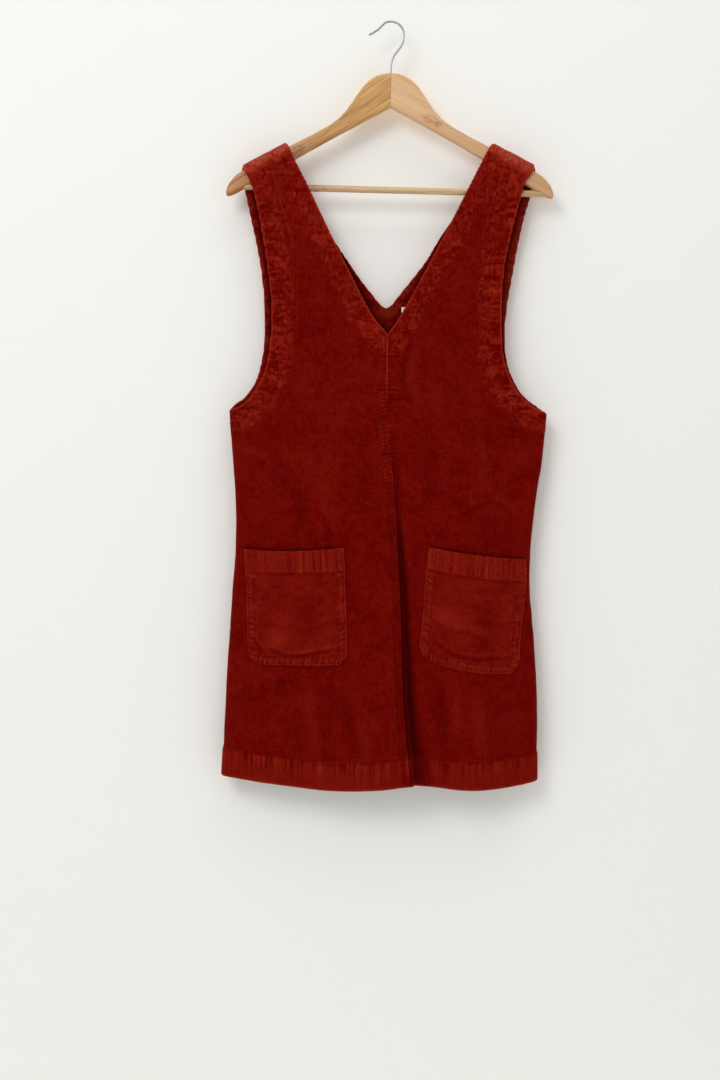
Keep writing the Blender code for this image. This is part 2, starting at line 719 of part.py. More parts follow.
def tube(name, points, radius, sides, collection, mat):
    """A round bar or wire along points in the hanger's plane."""
    curve = bpy.data.curves.new(name, "CURVE")
    curve.dimensions = "3D"
    curve.bevel_depth = radius * MM
    curve.bevel_resolution = sides
    curve.use_fill_caps = True
    spline = curve.splines.new("POLY")
    spline.points.add(len(points) - 1)
    for point, (x, z) in zip(spline.points, points):
        point.co = (x * MM, 0, z * MM, 1)
    return add_object(name, curve, collection, mat)


def hook_points():
    """The hook's centre line: its stem, the arc round its throat and the flared tip."""
    points = catmull(HOOK_STEM + ((HOOK_RADIUS, WIRE_RADIUS - HOOK_RADIUS),), 2)
    for degrees in range(12, HOOK_ARC_END + 1, 13):
        angle = math.radians(degrees)
        x = HOOK_RADIUS * math.cos(angle)
        points.append((x, WIRE_RADIUS - HOOK_RADIUS + HOOK_RADIUS * math.sin(angle)))
    return points + list(HOOK_TIP)


def catmull(points, steps):
    """Points of a Catmull-Rom spline through the given ones."""
    out = []
    for i in range(len(points) - 1):
        a = np.array(points[max(i - 1, 0)])
        b = np.array(points[i])
        c = np.array(points[i + 1])
        d = np.array(points[min(i + 2, len(points) - 1)])
        for k in range(steps):
            t = k / steps
            bend_2 = (2 * a - 5 * b + 4 * c - d) * t**2
            bend_3 = (3 * b - a - 3 * c + d) * t**3
            out.append(tuple(0.5 * (2 * b + (c - a) * t + bend_2 + bend_3)))
    out.append(tuple(points[-1]))
    return out


def make_hanger(collection, cutters):
    make_arm(LEFT, "hanger_arm_left", collection, cutters, material("left wood"))
    make_arm(RIGHT, "hanger_arm_right", collection, cutters, material("right wood"))
    tube("hanger_bar", BAR_ENDS, BAR_RADIUS, 4, collection, material("bar wood"))
    tube("hanger_hook", hook_points(), WIRE_RADIUS, 2, collection, material("wire"))


def main():
    for obj in list(bpy.data.objects):
        bpy.data.objects.remove(obj, do_unlink=True)
    collection = bpy.data.collections.new(NAME)
    cutters = bpy.data.collections.new("cutters")
    bpy.context.scene.collection.children.link(collection)
    bpy.context.scene.collection.children.link(cutters)
    corduroy = material("corduroy")
    make_fronts(collection, corduroy)
    make_back(collection, corduroy)
    make_facing(collection, material("facing"))
    make_pockets(collection, corduroy)
    make_label(collection, material("label"))
    make_hanger(collection, cutters)


main()
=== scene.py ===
"""Looks of a sleeveless corduroy pinafore dress on a wooden hanger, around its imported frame.

X runs across the dress, Y from its front (-Y) to its back (+Y) and Z up. The origin is the inner
top of the hanger's hook. The sizes and tables are in millimetres, and MM turns them into metres.
A level is a height on the cloth; above the fold over the hanger it is a length along the fold.
A wale is one ridge of the corduroy, and WALE is the distance from one to the next.
"""

import json
import math

import bpy
import numpy as np
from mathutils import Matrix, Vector
from mathutils.geometry import delaunay_2d_cdt

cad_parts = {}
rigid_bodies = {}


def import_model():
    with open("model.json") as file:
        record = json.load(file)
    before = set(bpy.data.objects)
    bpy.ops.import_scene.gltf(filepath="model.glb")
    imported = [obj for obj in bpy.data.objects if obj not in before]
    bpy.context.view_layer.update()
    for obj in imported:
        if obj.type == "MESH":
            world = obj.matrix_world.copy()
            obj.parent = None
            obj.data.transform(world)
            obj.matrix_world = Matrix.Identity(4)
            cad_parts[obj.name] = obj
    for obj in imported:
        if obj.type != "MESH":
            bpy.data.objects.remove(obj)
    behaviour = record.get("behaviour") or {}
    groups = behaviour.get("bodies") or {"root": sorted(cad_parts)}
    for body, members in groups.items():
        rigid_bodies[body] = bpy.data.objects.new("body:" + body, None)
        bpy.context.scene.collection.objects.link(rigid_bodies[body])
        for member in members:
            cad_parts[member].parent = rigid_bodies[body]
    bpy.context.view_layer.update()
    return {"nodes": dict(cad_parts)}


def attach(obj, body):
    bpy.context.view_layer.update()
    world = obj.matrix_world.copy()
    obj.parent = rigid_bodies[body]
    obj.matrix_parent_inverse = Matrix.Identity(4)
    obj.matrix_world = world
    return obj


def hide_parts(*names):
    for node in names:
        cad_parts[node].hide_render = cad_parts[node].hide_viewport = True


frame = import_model()

MM = 0.001
LEFT = -1
RIGHT = 1
FRONT = -1
BACK = 1
SEAM_GAP = 0.3

# ---- sizes of the cloth, as the solids have them -------------------------------------------
CLOTH_WALL = 1.8
FACED_WALL = 2.7
HEM_WALL = 3.0
SHOULDER_WALL = 5.7
FACING_WALL = 1.3
NECK_BAND = 30.0
ARMHOLE_BAND = 36.0
HEM_BAND = 37.0
BAND_BLEND = 7.0
SIDE_ROUND = 9.0
POCKET_WALL = 1.8
POCKET_BULGE = 7.3
POCKET_SEAT = 0.6
LABEL_SIZE = (35.0, 0.5, 15.0)
LABEL_CORNER = (14.5, -386.0)
LABEL_GAP = 0.7
FOLD_RADIUS = 7.2
CROWN_HEIGHT = -184.8
FOLD_START = CROWN_HEIGHT - FOLD_RADIUS
FOLD_END = FOLD_START + FOLD_RADIUS * math.pi / 2
CROWN_FLAT = math.sin(math.radians(79))
SHOULDER_X = {LEFT: -171.5, RIGHT: 166.0}
SHOULDER_SLOPE = 0.535
TILT_FROM = -310.0
TILT_TO = -205.0
SHOULDER_BULK_FROM = -206.0
ARMPIT = {LEFT: -528.0, RIGHT: -533.0}
FRONT_V = -425.0
BACK_V = -387.0
HEM_LEVEL = -1036.0
HEM_CURVE_FROM = -920.0
ARMHOLE_PART = 45.0
FACING_FROM = -468.0

# Neck edge of the fronts, from above the shoulder down to the V: height, x
FRONT_NECK = {
    LEFT: ((-160, -142.5), (-180, -134.0), (-220, -114.0), (-260, -95.5), (-300, -76.5),
           (-345, -54.0), (-390, -31.0), (-410, -18.0), (FRONT_V, -4.2)),
    RIGHT: ((-160, 139.5), (-180, 128.5), (-220, 108.0), (-260, 88.0), (-300, 67.0),
            (-345, 43.5), (-390, 18.5), (-410, 6.5), (FRONT_V, -4.2)),
}  # fmt: skip
# Centre-front seam, from the V to the hem: height, x
CENTRE_FRONT = ((FRONT_V, -4.2), (-525, -4.2), (-570, -2.2), (-622, 2.8), (-680, 7.2),
                (-743, 10.2), (-800, 12.6), (-870, 14.6), (-930, 16.9), (-990, 21.8),
                (-1044, 26.0))  # fmt: skip
# Front armhole edge, from above the shoulder down to the armpit: height, x
FRONT_ARMHOLE = {
    LEFT: ((-198, -204.0), (-206, -198.0), (-220, -191.0), (-245, -183.0), (-290, -174.3),
           (-340, -166.5), (-390, -162.0), (-420, -162.5), (-450, -165.5), (-470, -169.5),
           (-487, -176.0), (-502, -184.3), (-513, -192.3), (-522, -202.0), (-528, -219.6)),
    RIGHT: ((-198, 196.0), (-206, 192.0), (-220, 182.5), (-245, 175.0), (-290, 163.0),
            (-340, 153.0), (-390, 149.5), (-420, 149.5), (-450, 151.5), (-470, 156.3),
            (-487, 162.5), (-502, 170.3), (-513, 179.0), (-522, 188.5), (-528, 197.3),
            (-533, 211.8)),
}  # fmt: skip
# Side seam, from the armpit to the hem: height, x
SIDE_SEAM = {
    LEFT: ((-528, -219.6), (-545, -218.6), (-570, -216.3), (-600, -214.0), (-640, -211.6),
           (-680, -210.5), (-720, -211.4), (-770, -215.0), (-820, -218.4), (-880, -222.3),
           (-940, -225.3), (-1030, -230.0)),
    RIGHT: ((-533, 211.8), (-545, 210.8), (-570, 208.4), (-600, 205.2), (-640, 198.4),
            (-680, 193.7), (-720, 190.2), (-768, 189.0), (-820, 193.4), (-880, 197.2),
            (-940, 199.0), (-1030, 198.0)),
}  # fmt: skip
# Back neck edge, from above the shoulder down to its V: height, x
BACK_NECK = {
    LEFT: ((-160, -142.5), (-180, -136.5), (-220, -118.0), (-260, -99.0), (-300, -73.8),
           (-320, -60.4), (-350, -40.0), (-368, -25.6), (-378, -17.6), (-383, -13.2),
           (-386, -9.6), (BACK_V, -6.3)),
    RIGHT: ((-160, 139.5), (-180, 131.0), (-220, 111.5), (-260, 88.0), (-300, 61.8),
            (-320, 50.2), (-350, 27.4), (-368, 12.8), (-378, 4.9), (-383, 0.5),
            (-386, -3.0), (BACK_V, -6.3)),
}  # fmt: skip
CENTRE_BACK = ((BACK_V, -6.3), (-1044, -6.3))
# Back armhole edge, from above the shoulder down to the armpit: height, x
BACK_ARMHOLE = {
    LEFT: ((-198, -204.3), (-220, -200.6), (-260, -192.3), (-300, -183.5), (-345, -176.0),
           (-390, -172.5), (-420, -172.2), (-450, -174.8), (-470, -178.8), (-487, -184.3),
           (-502, -193.0), (-513, -201.5), (-522, -212.5), (-528, -219.6)),
    RIGHT: ((-198, 198.0), (-220, 194.6), (-240, 189.6), (-265, 182.2), (-300, 174.3), (-345, 166.0),
            (-390, 158.5), (-420, 156.3), (-450, 157.3), (-470, 161.2), (-487, 168.2),
            (-502, 176.6), (-513, 185.8), (-522, 196.3), (-528, 203.5), (-533, 211.8)),
}  # fmt: skip
# Hem: x, height
FRONT_HEM = ((-230, -1023.0), (-206, -1027.0), (-158, -1033.5), (-126, -1037.5), (-86, -1041.0),
             (-54, -1042.0), (-15, -1040.3), (26, -1035.0), (43, -1035.9), (66, -1037.6),
             (87, -1040.0), (116, -1041.4), (145, -1040.2), (175, -1035.8),
             (197, -1030.0))  # fmt: skip
BACK_HEM = ((-230, -1023.0), (-160, -1030.0), (-80, -1035.0), (0, -1037.0), (80, -1036.0),
            (150, -1033.0), (197, -1030.0))  # fmt: skip
# How far the cloth's inner face stands from the hanger's plane: height, front middle,
# front beside the seam, back middle, back beside the seam
DEPTHS = (
    (-190, 7.2, 7.2, 8.8, 8.8),
    (-240, 7.4, 7.4, 9.0, 9.0),
    (-330, 9.5, 8.6, 10.4, 9.6),
    (-430, 12.5, 9.0, 12.4, 9.4),
    (-530, 15.0, 7.5, 13.6, 7.5),
    (-650, 18.5, 8.0, 15.0, 8.0),
    (-800, 23.0, 9.0, 16.5, 8.5),
    (-940, 26.5, 10.0, 18.0, 9.0),
    (-1044, 28.5, 10.5, 19.0, 9.5),
)
# Centre-front fold: height, how far the seam stands proud, how far the right front drops behind
CENTRE_FOLD = ((-500, 0.0, 0.0), (-600, 0.8, 2.5), (-735, 2.6, 6.5), (-860, 5.0, 11.0),
               (-1044, 8.0, 16.5))  # fmt: skip
# Long soft waves that grow towards the hem: x at the hem, half width, height at the hem
FRONT_WAVES = ((-176, 22, 3.0), (-122, 24, -3.0), (96, 26, 3.5), (158, 20, -3.0))
BACK_WAVES = ((-150, 28, 4.0), (-78, 26, -4.0), (14, 30, 4.5), (84, 24, -4.0), (142, 22, 3.0))
WAVES_FROM = -660.0
WAVE_MARGIN = 30.0
SWELL_SHARE = 0.62
PROUD_REACH = 42.0
BEHIND_REACH = 62.0
FOLD_LIP = 1.3
FOLD_DROP = 6.0
# Pockets: distance down (0 at the mouth, 1 at the bottom) against the two side edges, and the
# mouth and bottom heights at the left edge, middle and right edge
POCKETS = {
    LEFT: {
        "sides": ((0.0, -198.2, -63.7), (0.45, -194.6, -61.3), (1.0, -192.6, -58.8)),
        "mouth": (-716.5, -719.7, -714.5),
        "bottom": (-871.0, -873.6, -871.5),
    },
    RIGHT: {
        "sides": ((0.0, 51.5, 181.5), (0.25, 47.0, 181.5), (0.5, 44.5, 178.0),
                  (0.75, 41.0, 174.5), (1.0, 37.0, 173.0)),
        "mouth": (-714.5, -725.5, -731.0),
        "bottom": (-861.0, -881.5, -884.5),
    },
}  # fmt: skip

# ---- fine form of the cloth -----------------------------------------------------------------
WALE = 2.88
WALE_DEPTH = 0.42
WALE_CROWN = 0.1
WALE_ROUNDNESS = 0.55
# Points across one wale: on what shows from the front, and on the back and the facing
FINE_STEP = WALE / 4
PLAIN_STEP = WALE / 3
# Rows of points on the fronts and the back: from this level down, at this spacing
FRONT_ROWS = ((FOLD_START, 1.8), (-495, 1.3), (-535, 2.5), (-770, 4.4), (-985, 2.5))
BACK_ROWS = ((FOLD_START, 2.8), (-495, 1.5), (-535, 4.8), (-985, 3.6))
FACING_ROWS = ((FOLD_START, 2.4),)
CROWN_ROWS = 12
# Rings of points round a rolled edge, outside first: shares of the wales' relief and of the wear and
# painted shade
EDGE_RINGS = ((1.0, 1.0), (1.0, 1.0), (1.0, 1.0), (0.3, 0.5), (0.0, 0.5))
ROLL_ANGLES = np.linspace(0, math.pi / 2, 25)
NECK_ROLL = 1.35
SEAM_ROLL = {LEFT: 0.9, RIGHT: 0.5}
HEM_ROLL = 1.5
SIDE_ROLL = 0.1
MERGE = 0.15
# How far the wales stand aside from upright: level, on the left front, on the right front
LEAN = ((-1044, 9.0, -26.0), (-860, 5.5, -15.5), (-700, 2.0, -5.0), (-560, 0.0, 0.0),
        (-190, 0.0, 0.0))  # fmt: skip
WANDER = 0.45
# How much plainer than the neck's the centre-front edge is: level, distance
CENTRE_PLAIN = ((-1044, 0.8), (-992, 0.8), (-975, 2.6), (-790, 2.6), (-740, 1.6), (-620, 1.6),
                (-590, 3.0), (-520, 3.0), (-492, 0.0), (-420, 0.0))  # fmt: skip
# How far the ends of the wales stand out of a cut edge, and the rounding of the crown's corners
TOOTH = 0.8
CROWN_CORNER = 4.5
# Share of that rounding at the straps' corners beside the neck
CORNER_SHARE = {LEFT: 0.5, RIGHT: 1.0}
POCKET_ROUND = 18.0
# How many random numbers the uneven lines and planes repeat after
LINE_SWINGS = 509
PLANE_SWINGS = 61

# Rows of sewing, as routes of (x, height)
STITCH_PITCH = 3.9
STITCH_LENGTH = 2.9
STITCH_RADIUS = 0.34
CENTRE_STITCHES = (6.5, 14.0)
POCKET_STITCHES = (2.7, 10.9)
POCKET_BAND = 31.0
HEM_LINE = {
    LEFT: ((-222.6, -981.8), (-197, -987), (-158, -994), (-126, -1001), (-86, -1006),
           (-55, -1006), (-15, -1001), (10, -997), (19, -995)),
    RIGHT: ((41, -995.4), (47, -996), (80, -1000), (109, -1003), (138, -1001.5), (167, -996),
            (185, -992.8)),
}  # fmt: skip
BACK_HEM_LINE = ((-222, -985), (-160, -993), (-80, -998), (0, -1000), (80, -999), (150, -996),
                 (183, -992))  # fmt: skip
STRAP_STITCHES = {
    LEFT: (
        ((-165.9, -192), (-160.5, -214.4), (-134.6, -305.5)),
        ((-105.1, -307.7), (-92.4, -338.2), (-76.1, -362.7), (-52.9, -406.3), (-29.8, -445.7),
         (-20.0, -462.0)),
        ((-134.6, -305.5), (-127.8, -328.7), (-129.2, -380.4), (-129.2, -432.1),
         (-141.4, -466.1), (-155.0, -492.0), (-164.0, -515.0), (-205.4, -545.0)),
    ),
    RIGHT: (
        ((152.0, -196), (148.5, -208.9), (137.6, -238.9), (121.3, -296.0)),
        ((118.5, -298.7), (88.6, -336.8), (64.1, -380.4), (45.0, -407.6), (26.0, -440.3),
         (12.0, -463.0)),
        ((121.3, -298.7), (115.8, -391.3), (118.5, -445.7), (132.2, -486.6), (147.0, -515.0),
         (196.0, -548.0)),
    ),
}  # fmt: skip
BACK_STITCHES = {
    LEFT: (
        ((-168, -196), (-163, -230), (-149, -285)),
        ((-149, -285), (-120, -318), (-92, -352), (-58, -388), (-28, -416), (-6.3, -425)),
        ((-149, -285), (-140, -345), (-136, -400), (-140, -455), (-155, -495), (-170, -522),
         (-206, -545)),
    ),
    RIGHT: (
        ((158, -196), (152, -230), (138, -285)),
        ((138, -285), (108, -318), (80, -352), (46, -388), (16, -416), (-6.3, -425)),
        ((138, -285), (126, -345), (120, -400), (124, -455), (138, -495), (156, -522),
         (198, -548)),
    ),
}  # fmt: skip

# Creases: route of (x, height), half width, depth (a ridge where it is below 0)
FRONT_CREASES = {
    LEFT: (
        (((-92.4, -674), (-86, -688), (-78.8, -701)), 3.5, 1.1),
        (((-99, -678), (-92, -694)), 4.0, -0.6),
        (((-39.3, -794), (-30, -797), (-20.3, -805)), 3.0, 0.9),
        (((-27, -850), (-14, -844), (-2.6, -835)), 3.5, 1.1),
        (((-27, -936), (-12, -929), (1, -918)), 4.0, 1.2),
        (((-213.5, -822.7), (-198.6, -836.3)), 3.5, 0.9),
        (((-216, -872), (-203, -880)), 4.0, 0.8),
        (((-172, -905), (-140, -893), (-118, -897)), 6.0, 0.8),
        (((-70, -912), (-58, -948), (-50, -985)), 9.0, 1.2),
        (((-112, -905), (-106, -950), (-101, -992)), 10.0, -1.1),
        (((-210, -560), (-178, -566), (-150, -560)), 5.0, 0.7),
        (((-206, -590), (-170, -604)), 6.0, 0.6),
        (((-36, -560), (-30, -610), (-34, -660)), 9.0, 0.7),
        (((-150, -600), (-120, -650), (-108, -700)), 12.0, 0.7),
        (((-60, -520), (-74, -560)), 9.0, -0.6),
    ),
    RIGHT: (
        (((26.0, -443), (19, -462), (15.1, -486.6), (19, -507), (28.7, -527)), 5.0, 1.3),
        (((36, -440), (29, -486), (38, -530)), 6.0, -0.7),
        (((95.4, -675.7), (114, -661), (133.5, -652.6)), 4.0, 1.0),
        (((133.5, -652.6), (150, -660), (163.5, -671.7)), 4.0, 0.9),
        (((159.4, -619.9), (176, -617), (190.7, -611.8)), 3.5, 0.9),
        (((189, -777), (184.5, -795.5)), 4.0, 1.3),
        (((189, -812), (185, -840)), 4.5, 1.2),
        (((60, -560), (52, -610), (56, -660)), 10.0, 0.8),
        (((118, -560), (126, -600), (118, -640)), 10.0, -0.7),
        (((150, -560), (170, -556), (196, -562)), 5.0, 0.7),
        (((62, -905), (70, -950), (74, -990)), 9.0, 1.1),
        (((112, -902), (118, -945), (120, -990)), 10.0, -1.0),
        (((150, -905), (172, -896), (190, -900)), 6.0, 0.8),
    ),
}
# The same for the pockets, as routes of (across, height) from the mouth's left end
POCKET_CREASES = {
    LEFT: (
        (((28, -131), (50, -141), (74, -141), (98, -136), (130, -132)), 2.6, 1.1),
        (((6, -117), (14, -128), (24, -137)), 2.4, 0.9),
        (((60, -62), (84, -66), (104, -63)), 4.0, 0.3),
        (((20, -96), (46, -103), (70, -101)), 4.5, 0.3),
        (((88, -104), (110, -97), (127, -99)), 3.0, 0.45),
        (((24, -44), (50, -47), (72, -44)), 4.0, 0.25),
    ),
    RIGHT: (
        (((20, -128), (44, -138), (72, -139), (104, -134), (124, -137)), 3.0, 0.9),
        (((30, -62), (62, -70), (98, -66)), 4.5, 0.3),
        (((14, -98), (34, -108), (60, -106), (88, -112)), 4.0, 0.45),
        (((96, -92), (116, -86), (130, -88)), 3.0, 0.4),
        (((48, -42), (72, -46), (100, -44)), 4.0, 0.25),
    ),
}
# Where the pockets are rubbed pale: across, down
POCKET_RUBBED = {LEFT: (42, 118), RIGHT: (28, 92)}
BACK_CREASES = (
    (((-120, -470), (-104, -520), (-110, -575)), 9.0, 1.0),
    (((-60, -440), (-40, -480), (-6, -500), (24, -482), (44, -445)), 6.0, 0.9),
    (((96, -480), (88, -530), (96, -590)), 9.0, 1.0),
    (((-205, -566), (-170, -574), (-145, -568)), 5.0, 0.8),
    (((196, -570), (166, -580), (140, -572)), 5.0, 0.8),
    (((-176, -640), (-150, -655), (-118, -650)), 6.0, 0.8),
    (((178, -655), (150, -664), (122, -660)), 6.0, 0.8),
    (((-50, -600), (-44, -680), (-52, -760)), 14.0, 1.1),
    (((46, -610), (52, -690), (44, -780)), 14.0, 1.0),
    (((-180, -760), (-172, -830), (-178, -900)), 12.0, 1.0),
    (((150, -740), (158, -810), (150, -880)), 12.0, -0.9),
    (((-212, -840), (-194, -850)), 4.0, 0.9),
    (((190, -860), (172, -872)), 4.0, 0.9),
    (((-20, -880), (-12, -930), (-18, -980)), 10.0, -0.9),
)

# ---- wear and colours -----------------------------------------------------------------------
# Wear and painted shade on creases: gain on a ridge (paler with wear) and in a trough (darker with painted
# shade), least and most
PANEL_CREASE_WEAR_AND_SHADE = (0.15, 0.3, -0.28, 0.2)
POCKET_CREASE_WEAR_AND_SHADE = (0.5, 0.32, -0.3, 0.35)
# Painted shadow beside the centre-front seam below the V: distance from the seam, half width
SEAM_SHADE = {LEFT: (2.8, 1.0), RIGHT: (2.0, 1.2)}
# How much plainer each front's centre edge is
CENTRE_UNWORN = {LEFT: 0.3, RIGHT: 2.5}
# The facing: half width of the painted shadow beside the fronts' neck edge, and its painted light, darker
# on its left side and lighter on its right, as light falls from the left
NECK_SHADE = {LEFT: 7.0, RIGHT: 4.5}
FACING_SIDE_LIGHT = {LEFT: -0.05, RIGHT: 0.15}
# Pile colours in a wale's groove, on its flanks and on its top: the darker groove and lighter top are
# painted shade and light of the wale's relief
PILE = {
    "groove": (0.097, 0.0005, 0.0004),
    "flank": (0.112, 0.0008, 0.0005),
    "top": (0.128, 0.0018, 0.0010),
}
# Cloth that is rubbed, also carrying the crown's painted highlight; the same on the facing, also carrying
# its right side's painted light; painted shade, also used where the cloth is hardly rubbed; and cloth
# without its pile, also the brightest of the crown's painted highlight
WORN_AND_LIT = (0.31, 0.023, 0.0095)
FACING_RUBBED_AND_LIT = (0.215, 0.028, 0.013)
SHADE_AND_UNWORN = (0.030, 0.0003, 0.0002)
PALE = (0.27, 0.079, 0.048)
# Each wood: pale and dark grain, slope of the grain in radians (rising towards +X where it is
# positive), strength of its figure, place of a knot in metres and its stain, and the tints that
# the colour is multiplied by in the hanger's middle and at its ends; the tints at the ends paint
# shade, darkening each piece towards the hanger's tips, where the light falls dimmer
WOODS = {
    "hanger_arm_left": {
        "name": "wood_left", "pale": (0.585, 0.325, 0.120), "dark": (0.47, 0.23, 0.072),
        "slope": 0.60, "figure": 1.0, "knot": (-0.129, -0.177), "stain": (0.3, 0.25, 0.22),
        "middle": (1.14, 1.26, 1.22), "end": (0.72, 0.58, 0.42),
    },
    "hanger_arm_right": {
        "name": "wood_right", "pale": (0.70, 0.43, 0.22), "dark": (0.62, 0.35, 0.165),
        "slope": -0.50, "figure": 0.35, "knot": (0.056, -0.1355), "stain": (0.6, 0.42, 0.36),
        "middle": (0.98, 1.04, 1.1), "end": (0.76, 0.72, 0.70),
    },
    "hanger_bar": {
        "name": "wood_bar", "pale": (0.68, 0.45, 0.21), "dark": (0.56, 0.34, 0.14),
        "slope": -0.02, "figure": 0.6, "knot": (-0.102, -0.2265), "stain": (0.45, 0.36, 0.3),
        "middle": (0.95, 1.04, 1.24), "end": (0.9, 0.96, 1.1),
    },
}  # fmt: skip


# ---- small mathematics ----------------------------------------------------------------------
def clamp01(t):
    return np.clip(t, 0.0, 1.0)


def ease(t):
    """0 up to t = 0, 1 from t = 1, and a soft step between them."""
    t = clamp01(t)
    return t * t * (3 - 2 * t)


def ramp(value, start, end):
    """0 on the start's side and 1 beyond the end, with a soft step between them."""
    return ease((value - start) / (end - start))


def fade(value, start, end):
    """1 on the start's side and 0 beyond the end."""
    return 1 - ramp(value, start, end)


def bell(value, centre, width):
    """1 at the centre, falling softly to 0 on both sides."""
    return np.exp(-(((value - centre) / width) ** 2))


def unit(vectors):
    return vectors / np.maximum(np.linalg.norm(vectors, axis=-1, keepdims=True), 1e-12)


def smooth(table, at, column=1):
    """A table's column at the places `at` in its first column, by a monotone cubic."""
    rows = sorted(table)
    x = np.array([row[0] for row in rows], float)
    y = np.array([row[column] for row in rows], float)
    width = np.diff(x)
    slope = np.diff(y) / width
    product = slope[:-1] * slope[1:]
    total = slope[:-1] + slope[1:]
    tangent = np.empty_like(y)
    tangent[1:-1] = np.where(product > 0, 2 * product / np.where(total == 0, 1, total), 0)
    tangent[0] = slope[0]
    tangent[-1] = slope[-1]
    at = np.clip(at, x[0], x[-1])
    i = np.clip(np.searchsorted(x, at) - 1, 0, len(width) - 1)
    t = (at - x[i]) / width[i]
    return (
        y[i] * (1 + 2 * t) * (1 - t) ** 2
        + y[i + 1] * t * t * (3 - 2 * t)
        + width[i] * (tangent[i] * t * (1 - t) ** 2 - tangent[i + 1] * t * t * (1 - t))
    )


def nearest(route, x, z):
    """Distance from each (x, z) to a route, how far along it the nearest place is, and the side."""
    best = np.full(x.shape, 1e9)
    along = np.zeros(x.shape)
    side = np.ones(x.shape)
    start = 0.0
    for (x0, z0), (x1, z1) in zip(route, route[1:]):
        run = math.hypot(x1 - x0, z1 - z0)
        held = clamp01(((x - x0) * (x1 - x0) + (z - z0) * (z1 - z0)) / run**2)
        away_x = x - x0 - held * (x1 - x0)
        away_z = z - z0 - held * (z1 - z0)
        gap = np.hypot(away_x, away_z)
        closer = gap < best
        best = np.where(closer, gap, best)
        along = np.where(closer, start + held * run, along)
        turned = (x1 - x0) * away_z - (z1 - z0) * away_x
        side = np.where(closer, np.where(turned > 0, 1.0, -1.0), side)
        start += run
    return best, along, side


def edge_route(edge, low, high, count):
    """A route along an edge, whose x is a function of the height."""
    heights = np.linspace(low, high, count)
    return list(zip(edge(heights), heights))


def uneven(t, seed):
    """Smooth uneven numbers from -1 to 1 along t, with about one swing for each unit."""
    table = np.random.default_rng(seed).uniform(-1, 1, LINE_SWINGS)
    i = np.floor(t).astype(int)
    part = ease(t - i)
    return table[i % LINE_SWINGS] * (1 - part) + table[(i + 1) % LINE_SWINGS] * part


def blotchy(a, b, seed):
    """Smooth uneven numbers from -1 to 1 over a plane, with a swing for each unit."""
    table = np.random.default_rng(seed).uniform(-1, 1, (PLANE_SWINGS, PLANE_SWINGS))
    i = np.floor(a).astype(int)
    j = np.floor(b).astype(int)
    s = ease(a - i)
    t = ease(b - j)
    after = (i + 1) % PLANE_SWINGS
    i = i % PLANE_SWINGS
    sides = []
    for k in (j % PLANE_SWINGS, (j + 1) % PLANE_SWINGS):
        sides.append(table[i, k] * (1 - s) + table[after, k] * s)
    return sides[0] * (1 - t) + sides[1] * t


def ridge(wales):
    """Height of the pile over a wale, 0 in the groove and 1 at the top, from a count of wales."""
    return np.abs(np.sin(np.pi * wales)) ** WALE_ROUNDNESS


def crease(x, z, route, half_width, depth):
    """A soft trough along a route, with a lower ridge beside it, that fades out at its ends."""
    gap, along, side = nearest(route, x, z)
    length = sum(map(math.dist, route, route[1:]))
    ends = np.sin(np.pi * clamp01(0.08 + 0.84 * along / length))
    signed = gap * side / half_width
    return depth * ends * (0.45 * np.exp(-((signed - 1.7) ** 2) / 1.4) - bell(signed, 0, 1))


def creased(x, z, creases, on_ridge, in_trough, least, most):
    """Height, wear and painted shade of a list of creases: paler with wear on their ridges and darker with
    painted shade in their troughs.
    """
    out = np.zeros(x.shape)
    worn = np.zeros(x.shape)
    for route, half_width, depth in creases:
        bent = crease(x, z, route, half_width, depth)
        out += bent
        worn += np.clip(np.where(bent > 0, on_ridge, in_trough) * bent, least, most)
    return out, worn


def bend(heights, across):
    """Height on the parabola through the left, middle and right heights."""
    first, middle, last = heights
    straight = first + (last - first) * across
    return straight + (middle - (first + last) / 2) * 4 * across * (1 - across)


